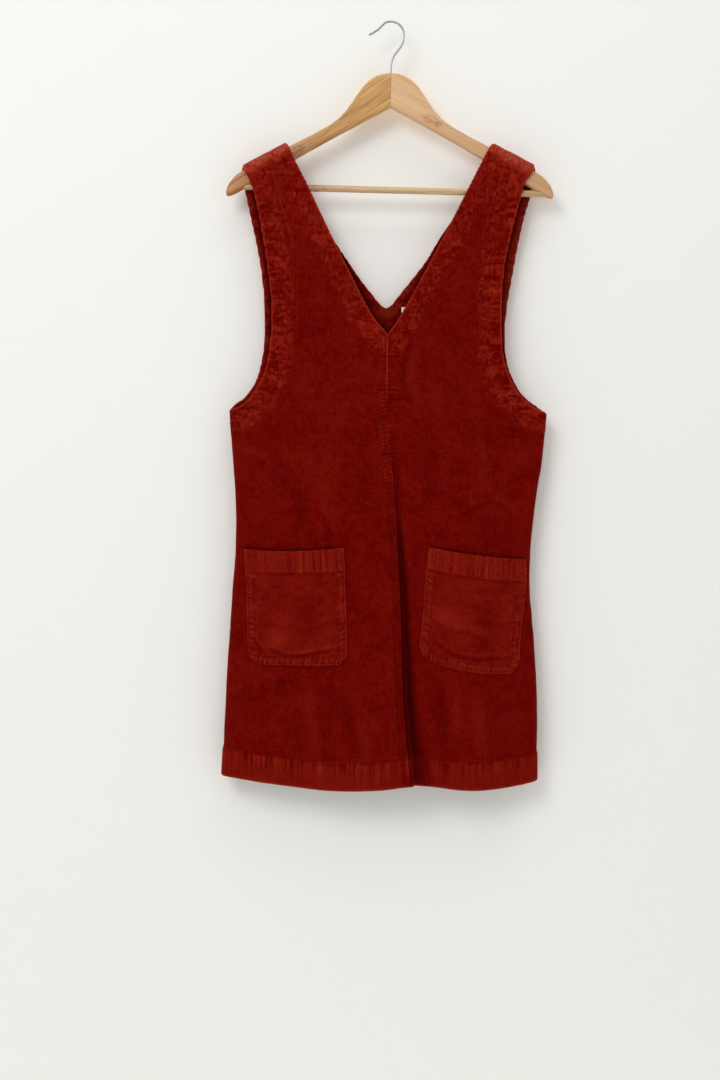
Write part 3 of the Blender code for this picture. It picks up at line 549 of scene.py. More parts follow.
# ---- the shape of the cloth -----------------------------------------------------------------
class Panel:
    """One half of the front or back, as the inner face of its cloth."""

    def __init__(self, side, facing):
        front = facing == FRONT
        self.side = side
        self.facing = facing
        self.front = front
        self.folded = front and side == RIGHT
        self.neck_edge = (FRONT_NECK if front else BACK_NECK)[side]
        self.armhole_edge = (FRONT_ARMHOLE if front else BACK_ARMHOLE)[side]
        self.centre = CENTRE_FRONT if front else CENTRE_BACK
        self.hem = FRONT_HEM if front else BACK_HEM
        self.waves = FRONT_WAVES if front else BACK_WAVES
        self.creases = FRONT_CREASES[side] if front else BACK_CREASES
        self.v_height = FRONT_V if front else BACK_V
        self.depth_column = 1 if front else 3
        self.rise = DEPTHS[0][self.depth_column]
        self.seed = 10 * (2 + side) + (0 if front else 1)
        self.armhole = edge_route(self.outer_edge, ARMPIT[side], -200, 60)
        self.neck = edge_route(self.inner_edge, self.v_height, -165, 40)
        self.sewing = self.rows_of_stitches()

    def centre_x(self, z):
        return smooth(self.centre, z)

    def from_hem(self, x, z):
        """Height above the hem's edge."""
        return z - smooth(self.hem, x)

    def from_edges(self, x, z):
        """Distances from the neck's edge and from the armhole's."""
        return nearest(self.neck, x, z)[0], nearest(self.armhole, x, z)[0]

    def inner_edge(self, z):
        """x of the neck edge, or of the centre line below the V."""
        return np.where(z > self.v_height, smooth(self.neck_edge, z), self.centre_x(z))

    def outer_edge(self, z):
        """x of the armhole edge, or of the side seam below the armpit."""
        side = smooth(SIDE_SEAM[self.side], z)
        return np.where(z > ARMPIT[self.side], smooth(self.armhole_edge, z), side)

    def height(self, level, x):
        """Height of a row at x: level, tilted in the strap, and bent to the hem's curve."""
        turned = np.minimum(np.sin((level - FOLD_START) / FOLD_RADIUS) / CROWN_FLAT, 1.0)
        middle = np.where(level > FOLD_START, FOLD_START + self.rise * turned, level)
        tilt = -self.side * SHOULDER_SLOPE * ramp(level, TILT_FROM, TILT_TO)
        z = middle + tilt * (x - SHOULDER_X[self.side])
        low = clamp01((level - HEM_CURVE_FROM) / (HEM_LEVEL - HEM_CURVE_FROM))
        return z + low * (smooth(self.hem, x) - HEM_LEVEL)

    def level_at(self, x, z):
        """Level of the row that has height z at x."""
        level = np.array(z, float)
        for _ in range(12):
            level += 0.8 * (z - self.height(level, x))
        return level

    def meet(self, edge, level):
        """x where the row meets an edge."""
        x = edge(level)
        for _ in range(6):
            x = edge(self.height(level, x))
        return x

    def slant(self, edge, level, most):
        """How much further it is along the row than square to the edge, for the same step."""
        z = self.height(level, self.meet(edge, level))
        slope = np.minimum(np.abs(edge(z + 0.5) - edge(z - 0.5)), most)
        return np.hypot(1, np.where(level > FOLD_START, 0, slope))

    def parted(self, level):
        """0 on the side seam and 1 where the armhole has parted front and back."""
        return np.sin(math.pi / 2 * clamp01((level - ARMPIT[self.side]) / ARMHOLE_PART))

    def limits(self, level):
        """Inner and outer x of the row, on the cloth's inner face."""
        seam = SEAM_GAP / 2 if self.front else 0.0
        inner = self.meet(self.inner_edge, level) + self.side * seam
        wall = CLOTH_WALL * (1 - self.parted(level))
        return inner, self.meet(self.outer_edge, level) - self.side * wall

    def beside(self, level):
        return smooth(DEPTHS, level, self.depth_column + 1)

    def roll_lengths(self, level):
        """Length of cloth round the side's rounding up to each of ROLL_ANGLES, for each row."""
        drop = (self.beside(level) - SEAM_GAP / 2) * (1 - self.parted(level))
        rate = np.hypot(SIDE_ROUND * np.sin(ROLL_ANGLES), drop[:, None] * np.cos(ROLL_ANGLES))
        steps = (rate[:, 1:] + rate[:, :-1]) / 2 * ROLL_ANGLES[1]
        return np.concatenate([np.zeros((len(level), 1)), np.cumsum(steps, axis=1)], axis=1)

    def side_end(self, level):
        """Cloth coordinate of the side: its x if the cloth's rounding were laid out flat."""
        rolled = self.roll_lengths(level)[:, -1] - SIDE_ROUND
        return self.limits(level)[1] + self.side * rolled

    def unroll(self, level, u):
        """x, and share of the side's rounding, of cloth at the coordinate u of each row."""
        lengths = self.roll_lengths(level)
        from_end = np.maximum(self.side * (self.side_end(level)[:, None] - u), 0)
        angle = np.stack([np.interp(a, q, ROLL_ANGLES) for a, q in zip(from_end, lengths)])
        inward = SIDE_ROUND * (1 - np.cos(angle)) + np.maximum(from_end - lengths[:, -1:], 0)
        return self.limits(level)[1][:, None] - self.side * inward, np.sin(angle)

    def depth(self, level, x, rounding=None):
        """How far the inner face stands out from the hanger's plane."""
        inner, outer = self.limits(level)
        from_side = np.abs(outer - x)
        from_middle = np.abs(x - inner)
        middle = smooth(DEPTHS, level, self.depth_column)
        beside = self.beside(level)
        edge = SEAM_GAP / 2 + (beside - SEAM_GAP / 2) * self.parted(level)
        if rounding is None:
            rounding = np.sqrt(1 - (1 - clamp01(from_side / SIDE_ROUND)) ** 2)
        out = edge + (beside - edge) * rounding
        out = out + (middle - beside) * ramp(from_side, 0, SWELL_SHARE * np.abs(outer - inner))
        inside = ramp(from_side, 0, WAVE_MARGIN) * ramp(from_middle, 0, WAVE_MARGIN)
        grown = ramp(level, WAVES_FROM, HEM_LEVEL) * inside
        for centre, half_width, height in self.waves:
            out = out + grown * height * bell(x, centre, half_width)
        if self.front:
            out = out + self.centre_fold(level, from_middle)
        over = np.clip((level - FOLD_START) / FOLD_RADIUS, 0, math.pi / 2)
        out = np.where(level > FOLD_START, middle * np.cos(over), out)
        return np.maximum(out, SEAM_GAP / 2)

    def centre_fold(self, level, from_middle):
        """The left front swells to the seam; the right front drops back just beyond it."""
        proud = smooth(CENTRE_FOLD, level)
        if not self.folded:
            return proud * bell(from_middle, 0, PROUD_REACH)
        behind = (proud - smooth(CENTRE_FOLD, level, 2)) * bell(from_middle, 0, BEHIND_REACH)
        return proud + (behind - proud) * ease((from_middle - FOLD_LIP) / FOLD_DROP)

    def wall(self, level, x, z, neck, armhole):
        """Thickness of the cloth, more where it is faced, hemmed or seamed at the shoulder."""
        neck = fade(neck, NECK_BAND, NECK_BAND + BAND_BLEND)
        armhole = fade(armhole, ARMHOLE_BAND, ARMHOLE_BAND + BAND_BLEND)
        armhole = armhole * ease((level - ARMPIT[self.side]) / BAND_BLEND)
        hem = fade(self.from_hem(x, z), HEM_BAND - 2, HEM_BAND - 2 + BAND_BLEND)
        t = CLOTH_WALL + (FACED_WALL - CLOTH_WALL) * np.maximum(neck, armhole)
        t = np.maximum(t, CLOTH_WALL + (HEM_WALL - CLOTH_WALL) * hem)
        bulk = SHOULDER_WALL + FOLD_RADIUS - self.rise - FACED_WALL
        bulk = bulk * ramp(level, SHOULDER_BULK_FROM, FOLD_END)
        return t + bulk * (1 + 0.13 * uneven(x / 8.5, 31))

    def lean(self, level):
        """How far aside the wales stand at a level, from where they are at the top."""
        if not self.front:
            return np.zeros_like(level)
        return smooth(LEAN, level, 1 if self.side == LEFT else 2)

    def inner_face(self, x, z):
        """Points of the inner face, from places in the front view."""
        level = self.level_at(x, z)
        return np.stack([x, self.facing * self.depth(level, x), z], axis=-1)

    def normal(self, x, z):
        """Outward normals of the inner face, from places in the front view."""
        right = self.inner_face(x + 0.5, z) - self.inner_face(x - 0.5, z)
        up = self.inner_face(x, z + 0.5) - self.inner_face(x, z - 0.5)
        out = unit(np.cross(right, up))
        return out * np.where(out[..., 1:2] * self.facing > 0, 1, -1)

    def outer_face(self, x, z):
        """Points of the cloth's outer face and its normals, from places in the front view."""
        normal = self.normal(x, z)
        wall = self.wall(self.level_at(x, z), x, z, *self.from_edges(x, z))
        out = wall + self.folds(x, z)[0]
        return self.inner_face(x, z) + normal * out[..., None], normal

    def rows_of_stitches(self):
        """Each row of stitches: route, depth of its groove, how dark its painted shade is, how pale its
        lip.
        """
        straps = (STRAP_STITCHES if self.front else BACK_STITCHES)[self.side]
        rows = [(straps[0], 0.4, 0.35, 0.8)] + [(strap, 0.15, 0.1, 0.2) for strap in straps[1:]]
        if self.front and self.side == LEFT:
            near, far = (
                edge_route(lambda z: self.centre_x(z) - inset, FRONT_V - 12, HEM_LEVEL + 6, 40)
                for inset in CENTRE_STITCHES
            )
            halfway = len(far) // 2
            rows += [(near, 0.15, 0.05, 0.2), (far[:halfway], 0.1, 0.05, 0.1)]
            rows.append((far[halfway - 1 :], 0.15, 0.05, 0.45))
        hem_line = HEM_LINE[self.side] if self.front else BACK_HEM_LINE
        return rows + [(hem_line, 0.5, 0.45, 0.35)]

    def puckers(self, x, z):
        """Small wavy crinkles, most of them level, as sewing and washing draw the cloth up."""
        seed = self.seed + 20
        bent = z + 3.0 * blotchy(x / 11, z / 15, seed)
        swell = blotchy(x / 15 + 5, bent / 4.6, seed + 1) + 0.3 * blotchy(x / 6, bent / 2.4, seed + 2)
        tufts = blotchy(x / 2.4 + 7, z / 5, seed + 3) + 0.6 * blotchy(x / 1.6, z / 2.6 + 3, seed + 4)
        return 0.55 * bell(swell, 0.42, 0.2) - 0.65 * bell(swell, 0, 0.2) + 0.4 * tufts

    def faced(self, x, z):
        """1 in the faced bands along the neck and the armhole, with an uneven end."""
        ragged = 5.0 * blotchy(x / 7, z / 7, self.seed + 14)
        neck, armhole = self.from_edges(x, z)
        neck = fade(neck + ragged, NECK_BAND - 8, NECK_BAND + 1)
        return np.maximum(neck, fade(armhole + ragged, ARMHOLE_BAND - 9, ARMHOLE_BAND))

    def crinkles(self, x, z):
        """Soft swells all over, puckers in the straps and faced bands, and the crown, rubbed and painted
        paler with a highlight of the light from above.
        """
        swells = 0.5 * blotchy(x / 46, z / 71, self.seed + 3)
        swells = swells + 0.35 * blotchy(x / 17, z / 29, self.seed + 4)
        rough = blotchy(x / 6, z / 4.2, self.seed + 12) + 0.6 * blotchy(x / 3.4, z / 2.9, self.seed + 13)
        puckers = self.puckers(x, z)
        crinkled = np.maximum(ramp(z, -330, -200), self.faced(x, z))
        # Puckers are paler with wear on their ridges and darker with painted shade in their troughs.
        rub_and_shade = np.clip(0.2 + 0.5 * puckers + 0.1 * rough, -0.35, 0.75)
        crest = z + self.side * SHOULDER_SLOPE * (x - SHOULDER_X[self.side])
        # The crown is rubbed, and painted paler still as a highlight of the light from above.
        crown = 0.2 * ramp(crest, -235, -185) + (1.12 + 0.2 * rough) * ramp(crest, -203, -188)
        return swells + crinkled * (0.5 * puckers + 0.2 * rough), 0.1 * swells + crinkled * rub_and_shade + crown

    def armhole_bars(self, x, z):
        """Short ridges across the armhole's sewn edge, below the strap."""
        armhole = self.from_edges(x, z)[1]
        below = ramp(z, -225, -255)
        bars = uneven((z + 2.0 * blotchy(x / 9, z / 9, self.seed + 21)) / 2.6, self.seed + 22)
        bars = bars * fade(armhole, 13, 20) * below
        return 0.25 * bars, 0.4 * bars - 0.1 * fade(armhole, 10, 18) * below

    def grooves(self, x, z):
        """The groove of each row of stitches, darkened with painted shade, and its pale lip."""
        out = np.zeros(x.shape)
        worn = np.zeros(x.shape)
        for route, depth, dark, light in self.sewing:
            gap, along, turned = nearest(route, x, z)
            groove = bell(gap, 0, 1.2)
            lip = bell(gap * turned, 1.6, 1.0) * (0.6 + 0.4 * uneven(along / 9, self.seed + 80))
            out += depth * (0.5 * lip - groove)
            dashed = 0.6 + 0.4 * np.sin(2 * math.pi * along / STITCH_PITCH)
            worn += dashed * (light * lip - dark * groove)
        return out, worn

    def hem_bars(self, x, z):
        """Upright ridges in the hem's band, weak beside the centre-front seam."""
        from_hem = self.from_hem(x, z)
        bars = uneven(x / 3.3, self.seed + 50) + 0.6 * uneven(x / 1.9, self.seed + 51)
        bars = bars * (0.15 + 0.85 * clamp01((from_hem - 9) / (HEM_BAND - 14)) ** 1.4)
        bars = bars * (0.6 + 0.5 * blotchy(x / 8, z / 11, self.seed + 52))
        if self.front:
            bars = bars * (1 - 0.75 * bell(np.abs(x - self.centre_x(z)), 12, 8))
        band = fade(from_hem, HEM_BAND - 3, HEM_BAND + 2)
        return 0.5 * bars * band, band * np.clip(0.17 + 0.42 * bars, -0.3, 0.6)

    def centre_bars(self, x, z):
        """The ladder of short ridges beside the centre-front seam, strongest above the waist, and the
        painted shade beside the seam's fold.
        """
        from_seam = self.side * (x - self.centre_x(z))
        lower = ramp(z, -470, -500)
        strength = (0.6 + 0.4 * bell(z, -585, 90)) * (0.75 + 0.25 * lower)
        strength = strength * (0.75 + 0.35 * uneven(z / 14, self.seed + 64))
        if self.side == LEFT:
            reach = 12.0 - 3.0 * ramp(z, -600, -660)
        else:
            reach = 22.0 - 17.0 * ramp(z, -450, -560)
        band = fade(from_seam, reach, reach + 5) * ramp(z, FRONT_V - 6, FRONT_V - 26)
        band = band * (1 - 0.75 * ramp(z, -580, -600) * bell(from_seam, 5.2, 1.6))
        swing = 0.25 * uneven(z / 19, self.seed + 60) + 0.3 * uneven(from_seam / 8 + 3, self.seed + 62)
        arched = 1.6 * ((from_seam - 6) / 9) ** 2
        ladder = 0.7 * np.sin(2 * math.pi * ((z - arched) / 5.7 + swing))
        ladder = ladder + 0.6 * blotchy(x / 2.2, z / 2.2, self.seed + 65)
        slow = uneven(z / 9, self.seed + 61)
        height = strength * band * (0.35 * ladder + 0.2 * slow)
        rub_and_shade = strength * band * (0.55 * ladder + 0.25 * slow - 0.04 * lower)
        below_v = ramp(z, -505, -485) * ramp(z, FRONT_V + 4, FRONT_V - 4)
        if self.folded:
            # Painted shade in the right front's valley beside the seam.
            dark = self.valley(from_seam, z)
            rub_and_shade = rub_and_shade * (1 - dark) - dark
        else:
            # A pale lip on the left front's edge, and painted shade where the edge turns into the fold.
            beside_fold = ramp(z, -610, -670)
            lip = bell(from_seam, 0.8, 1.1) * (0.6 * below_v + 0.12 * (1 - beside_fold))
            rub_and_shade = rub_and_shade + lip - 0.25 * beside_fold * fade(from_seam, 9, 16)
        # A painted shadow line beside the seam, below the V.
        seam_at, seam_width = SEAM_SHADE[self.side]
        return height, rub_and_shade - 0.25 * bell(from_seam, seam_at, seam_width) * below_v

    def valley(self, from_seam, z):
        """How dark the painted shade in the right front's valley beside the seam is."""
        width = 4.0 + 7.0 * ramp(z, -640, -780) + 7.5 * ramp(z, -780, -1000)
        width = width + 5.0 * bell(z, -615, 35) + 5.0 * ramp(z, -985, -995)
        dark = 0.35 * ramp(z, -560, -610) + 0.65 * ramp(z, -625, -720)
        dark = dark * fade(from_seam, 0.55 * width, 1.5 * width)
        return dark * (0.92 - 0.24 * ramp(z, -990, -1000))

    def sunk(self, x, z, wall):
        """How far the right front's edge lies behind the left front's, which laps over it."""
        lapped = ramp(z, -580, -620)
        hemmed = fade(self.from_hem(x, z), HEM_BAND, HEM_BAND + 8)
        reach = 3.0 + 9.0 * ramp(z, -560, -800)
        back = 0.9 + (wall - 0.7 - hemmed) * lapped
        return back * fade(x - self.centre_x(z), 0, reach) * (z < FRONT_V - 4)

    def pocket_shade(self, x, z):
        """1 in the painted shadow just above the pocket's mouth."""
        plan = POCKETS[self.side]
        _, left, right = plan["sides"][0]
        above = z - bend(plan["mouth"], clamp01((x - left) / (right - left)))
        return ramp(x, left, left + 3) * ramp(x, right, right - 3) * bell(above, 1.7, 1.5)

    def under_pocket(self, x, z):
        """1 under the pocket, where the cloth lies plain, and 0 a little way outside it."""
        plan = POCKETS[self.side]
        left = min(row[1] for row in plan["sides"]) - 1
        right = max(row[2] for row in plan["sides"]) + 1
        top = max(plan["mouth"]) - 4
        bottom = min(plan["bottom"])
        across = ramp(x, left, left + 5) * ramp(x, right, right - 5)
        return across * ramp(z, top, top - 6) * ramp(z, bottom, bottom + 5)

    def folds(self, x, z):
        """Creases and puckers, as heights off the smooth face, and each place's wear and painted shade.

        Worn places are paler, up to 2 where the pile is gone and where the crown's painted highlight is
        brightest; places with painted shade (troughs, stitch grooves, the centre-front valley, above the
        pockets' mouths) and places that are hardly rubbed are darker, down to -1.
        """
        layers = [self.crinkles(x, z), self.armhole_bars(x, z), self.grooves(x, z), self.hem_bars(x, z)]
        layers.append(creased(x, z, self.creases, *PANEL_CREASE_WEAR_AND_SHADE))
        if self.front:
            layers.append(self.centre_bars(x, z))
        out, worn = (sum(layer) for layer in zip(*layers))
        if self.front:
            plain = 1 - self.under_pocket(x, z)
            out = out * plain
            worn = worn * plain - 0.8 * self.pocket_shade(x, z)
        return out, np.clip(worn, -1, 2)


PANELS = {(side, facing): Panel(side, facing) for side in (LEFT, RIGHT) for facing in (FRONT, BACK)}


def row_levels(spacing, lowest):
    """Levels of a panel's rows, from the lowest up over the fold, at each stretch's spacing."""
    levels = [lowest]
    ends = [start for start, _ in spacing[1:]] + [lowest]
    for (start, apart), end in zip(spacing, ends):
        if start > lowest:
            levels += list(np.arange(start, max(end, lowest) + apart * 0.4, -apart))
    crown = FOLD_START + FOLD_RADIUS * np.linspace(0, math.pi / 2, CROWN_ROWS + 1)[1:]
    return np.array(sorted(set(levels)) + list(crown))


# ---- cloth as a mesh --------------------------------------------------------------------------
class Grid:
    """Points in rows, each row clipped between its own two ends."""

    def __init__(self, columns, low, high):
        rows, count = columns.shape
        inside = (columns > low[:, None] + MERGE) & (columns < high[:, None] - MERGE)
        first = inside.argmax(axis=1) - 1
        last = count - inside[:, ::-1].argmax(axis=1)
        place = np.clip(np.arange(count)[None], first[:, None], last[:, None])
        ids = np.arange(rows)[:, None] * count + place
        used = np.unique(ids)
        self.row = used // count
        self.column = used % count
        self.is_low = self.column == first[self.row]
        self.is_high = self.column == last[self.row]
        self.at = np.where(self.is_low, low[self.row], columns[self.row, self.column])
        self.at = np.where(self.is_high, high[self.row], self.at)
        self.ids = np.searchsorted(used, ids)
        self.low_ids = self.ids[np.arange(rows), np.maximum(first, 0)]
        self.high_ids = self.ids[np.arange(rows), np.minimum(last, count - 1)]

    def faces(self):
        """Quads and triangles between the rows, as two arrays of indices."""
        a = self.ids[:-1, :-1].ravel()
        b = self.ids[:-1, 1:].ravel()
        c = self.ids[1:, 1:].ravel()
        d = self.ids[1:, :-1].ravel()
        quads = np.stack([a, b, c, d], axis=1)[(a != b) & (c != d)]
        lower = np.stack([a, b, c], axis=1)[(a != b) & (c == d)]
        upper = np.stack([a, c, d], axis=1)[(a == b) & (c != d)]
        return quads, np.concatenate([lower, upper])


def vertex_normals(points, quads, triangles):
    """Area-weighted normals of a mesh's points."""
    normals = np.zeros_like(points)
    for faces in (quads, triangles):
        across = points[faces[:, 2]] - points[faces[:, 0]]
        other = points[faces[:, -1]] - points[faces[:, 1]]
        area = np.cross(across, other)
        for corner in faces.T:
            np.add.at(normals, corner, area)
    return unit(normals)


def boundary_loops(quads, triangles):
    """Loops of a mesh's open edges, in the direction in which its faces run."""
    edges = []
    for faces in (quads, triangles):
        corners = faces.shape[1]
        edges += [faces[:, [corner, (corner + 1) % corners]] for corner in range(corners)]
    start, end = np.concatenate(edges).T
    free = ~np.isin(start << 32 | end, end << 32 | start)
    following = dict(zip(start[free].tolist(), end[free].tolist()))
    loops = []
    while following:
        loop = [next(iter(following))]
        at = following.pop(loop[0])
        while at != loop[0]:
            loop.append(at)
            at = following.pop(at)
        loops.append(np.array(loop))
    return loops


def new_mesh(name, points, faces, mat, smooth_angle=None):
    """An object of faces through points in millimetres, shaded smooth."""
    mesh = bpy.data.meshes.new(name)
    mesh.from_pydata((np.asarray(points) * MM).tolist(), [], faces)
    mesh.validate()
    mesh.shade_smooth()
    if smooth_angle is not None:
        mesh.set_sharp_from_angle(angle=math.radians(smooth_angle))
    obj = bpy.data.objects.new(name, mesh)
    bpy.context.scene.collection.objects.link(obj)
    mesh.materials.append(mat)
    return obj


def cloth_mesh(name, sheet, mat):
    """A closed wall of corduroy from an open sheet: wales outside, plain inside, rolled edges.

    sheet has arrays with a value for each point: base, flat (place in the cloth laid out), wall,
    folds, roll (radius of an edge), wales, along, worn (wear, with painted shade below 0);
    faces in quads and triangles; coarse, the points that the plain inside keeps; and sign, +1 if its
    faces run so that their normals point outwards. Each point of the mesh keeps its count of wales,
    its place along them and its wear and painted shade.
    """
    sign = sheet["sign"]
    quads = sheet["quads"][:, ::sign]
    triangles = sheet["triangles"][:, ::sign]
    base = sheet["base"]
    folds = sheet["folds"]
    normal = vertex_normals(base, quads, triangles)
    relief = WALE_CROWN - WALE_DEPTH * (1 - ridge(sheet["wales"]))
    pile = np.column_stack([sheet["wales"], sheet["along"], sheet["worn"]])
    points = [np.hstack([base + normal * (sheet["wall"] + folds + relief)[:, None], pile])]
    faces = quads.tolist() + triangles.tolist()
    count = len(base)
    inner_of = {}
    loops = boundary_loops(quads, triangles)
    bounds = []
    for loop in loops:
        start = len(bounds)
        bounds += [(start + k, start + (k + 1) % len(loop)) for k in range(len(loop))]
        tangent = base[np.roll(loop, -1)] - base[np.roll(loop, 1)]
        edge = unit(np.cross(tangent, normal[loop]))
        half = sheet["wall"][loop] / 2
        roll = sheet["roll"][loop]
        middle = base[loop] + normal[loop] * (half + folds[loop])[:, None]
        last = loop
        for number, (raised, rub_and_shade) in enumerate(EDGE_RINGS, 1):
            angle = math.pi * number / len(EDGE_RINGS)
            bump = relief[loop] * raised
            up = (half + bump) * math.cos(angle)
            out = (roll + np.where(roll > 0.3, bump, 0)) * math.sin(angle)
            ring = middle + normal[loop] * up[:, None] + edge * out[:, None]
            points.append(np.hstack([ring, pile[loop] * (1, 1, rub_and_shade) + (0, number, 0)]))
            ids = np.arange(count, count + len(loop))
            count += len(loop)
            faces += np.stack([last, ids, np.roll(ids, -1), np.roll(last, -1)], axis=1).tolist()
            last = ids
        inner_of.update(zip(loop.tolist(), last.tolist()))
    inside = sheet["coarse"][~np.isin(sheet["coarse"], list(inner_of))]
    lining = base[inside] + normal[inside] * folds[inside][:, None]
    points.append(np.hstack([lining, pile[inside] * (1, 1, 0)]))
    rim = np.concatenate(loops)
    places = [Vector(place) for place in sheet["flat"][np.concatenate([rim, inside])]]
    cells, origins = delaunay_2d_cdt(places, bounds, [], 1, 1e-5)[2:4]
    targets = [inner_of[v] for v in rim.tolist()] + list(range(count, count + len(inside)))
    faces += [[targets[origins[v][0]] for v in cell][::-sign] for cell in cells]
    points = np.concatenate(points)
    obj = new_mesh(name, points[:, :3], faces, mat)
    data = obj.data.attributes.new("cloth", "FLOAT_VECTOR", "POINT").data
    data.foreach_set("vector", (points[:, 3:] * (1, MM, 1)).astype(np.float32).ravel())
    return obj


def join_sheets(first, second, pairs):
    """Two sheets as one, welded at pairs of their points."""
    count = len(first["base"])
    target = np.arange(len(second["base"])) + count
    for a, b in pairs:
        target[b] = a
    kept = np.unique(np.concatenate([np.arange(count), target]))
    number = np.full(count + len(second["base"]), -1)
    number[kept] = np.arange(len(kept))
    target = number[target]
    out = {"sign": first["sign"]}
    for key in ("quads", "triangles", "coarse"):
        out[key] = np.concatenate([first[key], target[second[key]]])
    out["coarse"] = np.unique(out["coarse"])
    for key in first:
        if key not in out:
            out[key] = np.concatenate([first[key], second[key]])[kept]
    return out


def row_ends(panel, levels):
    """The inner and outer end of each row of cloth, and how far each of the two edges rolls."""
    side = panel.side
    sewn = SEAM_ROLL[side] if panel.front else 0.0
    above_v = ramp(levels, panel.v_height, panel.v_height + 5)
    free = ramp(levels, ARMPIT[side], ARMPIT[side] + 12)
    inner_roll = sewn + (NECK_ROLL - sewn) * above_v
    outer_roll = SIDE_ROLL + (NECK_ROLL - SIDE_ROLL) * free
    inner = panel.limits(levels)[0] + side * inner_roll * panel.slant(panel.inner_edge, levels, 1.2)
    outer = panel.side_end(levels) - side * outer_roll * panel.slant(panel.outer_edge, levels, 2.0) * free
    if panel.folded:
        inner = inner - 2.0 * ramp(levels, FRONT_V - 6, FRONT_V - 16) - 2.5 * ramp(levels, -590, -630)

    def tooth(edge):
        """How far the end of the wale at an edge stands out of it, away from the middle."""
        out = TOOTH * (ridge((edge - panel.lean(levels)) / WALE) - 0.7)
        return side * np.where(levels > FOLD_START, 0, out)

    inner = inner - tooth(inner) * above_v
    outer = outer + tooth(outer) * free
    top = FOLD_START + panel.rise - panel.height(levels, np.full(len(levels), SHOULDER_X[side]))
    corner = CROWN_CORNER * (1 - np.sqrt(1 - clamp01(1 - top / CROWN_CORNER) ** 2))
    inner = inner + side * corner * CORNER_SHARE[side]
    if not panel.front:
        below = levels <= BACK_V - NECK_ROLL
        inner = np.where(below, CENTRE_BACK[0][1], inner)
        inner_roll = np.where(below, 0.05, inner_roll)
    return inner, outer - side * corner, inner_roll, outer_roll


def panel_sheet(panel, levels, spacing, facing=False):
    """The corduroy of one panel as an open sheet with its wales in columns."""
    side = panel.side
    inner, outer, inner_roll, outer_roll = row_ends(panel, levels)
    low = np.minimum(inner, outer)
    high = np.maximum(inner, outer)
    start = math.floor((low.min() - 30) / spacing) * spacing
    columns = np.arange(start, high.max() + 30 + 3 * spacing, spacing)[None]
    sway = WANDER * blotchy(columns / 24, levels[:, None] / 67, 70 + side + 5 * panel.facing)
    aside = panel.lean(levels)[:, None] + sway
    grid = Grid(columns + aside, low, high)
    u = np.zeros(aside.shape)
    u[grid.row, grid.column] = grid.at
    x, rounding = (values[grid.row, grid.column] for values in panel.unroll(levels, u))
    level = levels[grid.row]
    z = panel.height(level, x)
    tucked = 0.5 * fade(np.abs(outer[grid.row] - grid.at), 0, 2.5)
    tucked = tucked * fade(level, ARMPIT[side] - 12, ARMPIT[side] - 2)
    y = panel.facing * (panel.depth(level, x, rounding) - tucked)
    neck, armhole = panel.from_edges(x, z)
    wall = panel.wall(level, x, z, neck, armhole)
    folds, worn = panel.folds(x, z)
    edge = np.minimum(np.minimum(neck, np.where(level > ARMPIT[side], armhole, 99)), panel.from_hem(x, z))
    from_seam = x - panel.centre_x(z)
    coarse = (grid.row % 5 == 2) & (grid.column % 10 == 3)
    if panel.folded:
        folds = folds - panel.sunk(x, z, wall)
        coarse = coarse | ((from_seam < 30) & (level < -520) & (grid.column % 2 == 0))
    if panel.front:
        plain = smooth(CENTRE_PLAIN, z) + CENTRE_UNWORN[side]
        edge = np.minimum(edge, np.abs(from_seam) + plain)
    low_roll, high_roll = (outer_roll, inner_roll) if side == LEFT else (inner_roll, outer_roll)
    roll = np.where(grid.is_high, high_roll[grid.row], HEM_ROLL)
    roll = np.where(grid.is_low, low_roll[grid.row], roll)
    quads, triangles = grid.faces()
    sheet = {
        "base": np.stack([x, y, z], axis=1),
        "flat": np.stack([grid.at, level], axis=1),
        "wall": wall,
        "folds": folds * fade(level, FOLD_START - 6, FOLD_START + 2),
        "roll": np.where(grid.row == len(levels) - 1, 0.1, roll),
        "wales": (grid.at - aside[grid.row, grid.column]) / WALE,
        "along": level,
        "worn": worn + np.maximum(0.9 - worn, 0) * bell(edge, 0, 2.2),
        "quads": quads,
        "triangles": triangles,
        "coarse": np.flatnonzero(coarse),
        "sign": 1 if panel.front else -1,
    }
    if facing:
        line_inside(sheet, side, worn, edge)
    return sheet, grid


def line_inside(sheet, side, worn, edge):
    """Makes the back's sheet into its facing's: thinner, facing in, with painted shadow beside the fronts'
    edges and painted light by side.
    """
    x, _, z = sheet["base"].T.copy()
    neck, armhole = PANELS[side, FRONT].from_edges(x, z)
    # Painted shadow beside the fronts' neck and armhole edges, darkest at the V.
    shaded = np.maximum(bell(neck, 0, NECK_SHADE[side]), bell(armhole, 0, 4))
    shaded = np.maximum(shaded, 1.2 * bell(z, FRONT_V, 12) * ramp(np.abs(x), 60, 40))
    # The per-side number paints the left side darker and the right side lighter, for light from the left;
    # the outer strips and the rim are paler.
    rub_and_shade = 0.8 * worn + FACING_SIDE_LIGHT[side] + 0.25 * ramp(np.abs(x), 90, 130)
    rub_and_shade = rub_and_shade + 0.4 * bell(edge, 0, 2.2) + 0.25 * blotchy(x / 2.4, z / 4.5, 67)
    over = np.clip((sheet["along"] - FOLD_START) / FOLD_RADIUS, 0, math.pi / 2)
    sheet["base"][:, 1] = np.maximum(sheet["base"][:, 1] - SEAM_GAP * np.cos(over), SEAM_GAP / 2)
    sheet["base"][:, 2] -= SEAM_GAP * np.sin(over)
    sheet["worn"] = np.clip(rub_and_shade - 1.1 * shaded, -1, 1)
    sheet["wall"] = np.full(len(x), FACING_WALL)
    sheet["folds"] = sheet["folds"] * 0.3
    sheet["roll"] = np.where(sheet["roll"] > 1, 0.6, np.minimum(sheet["roll"], 0.3))
    sheet["sign"] = 1


def declare(obj, node):
    """Puts a piece of cloth in place of its solid."""
    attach(obj, "root")
    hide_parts(node)


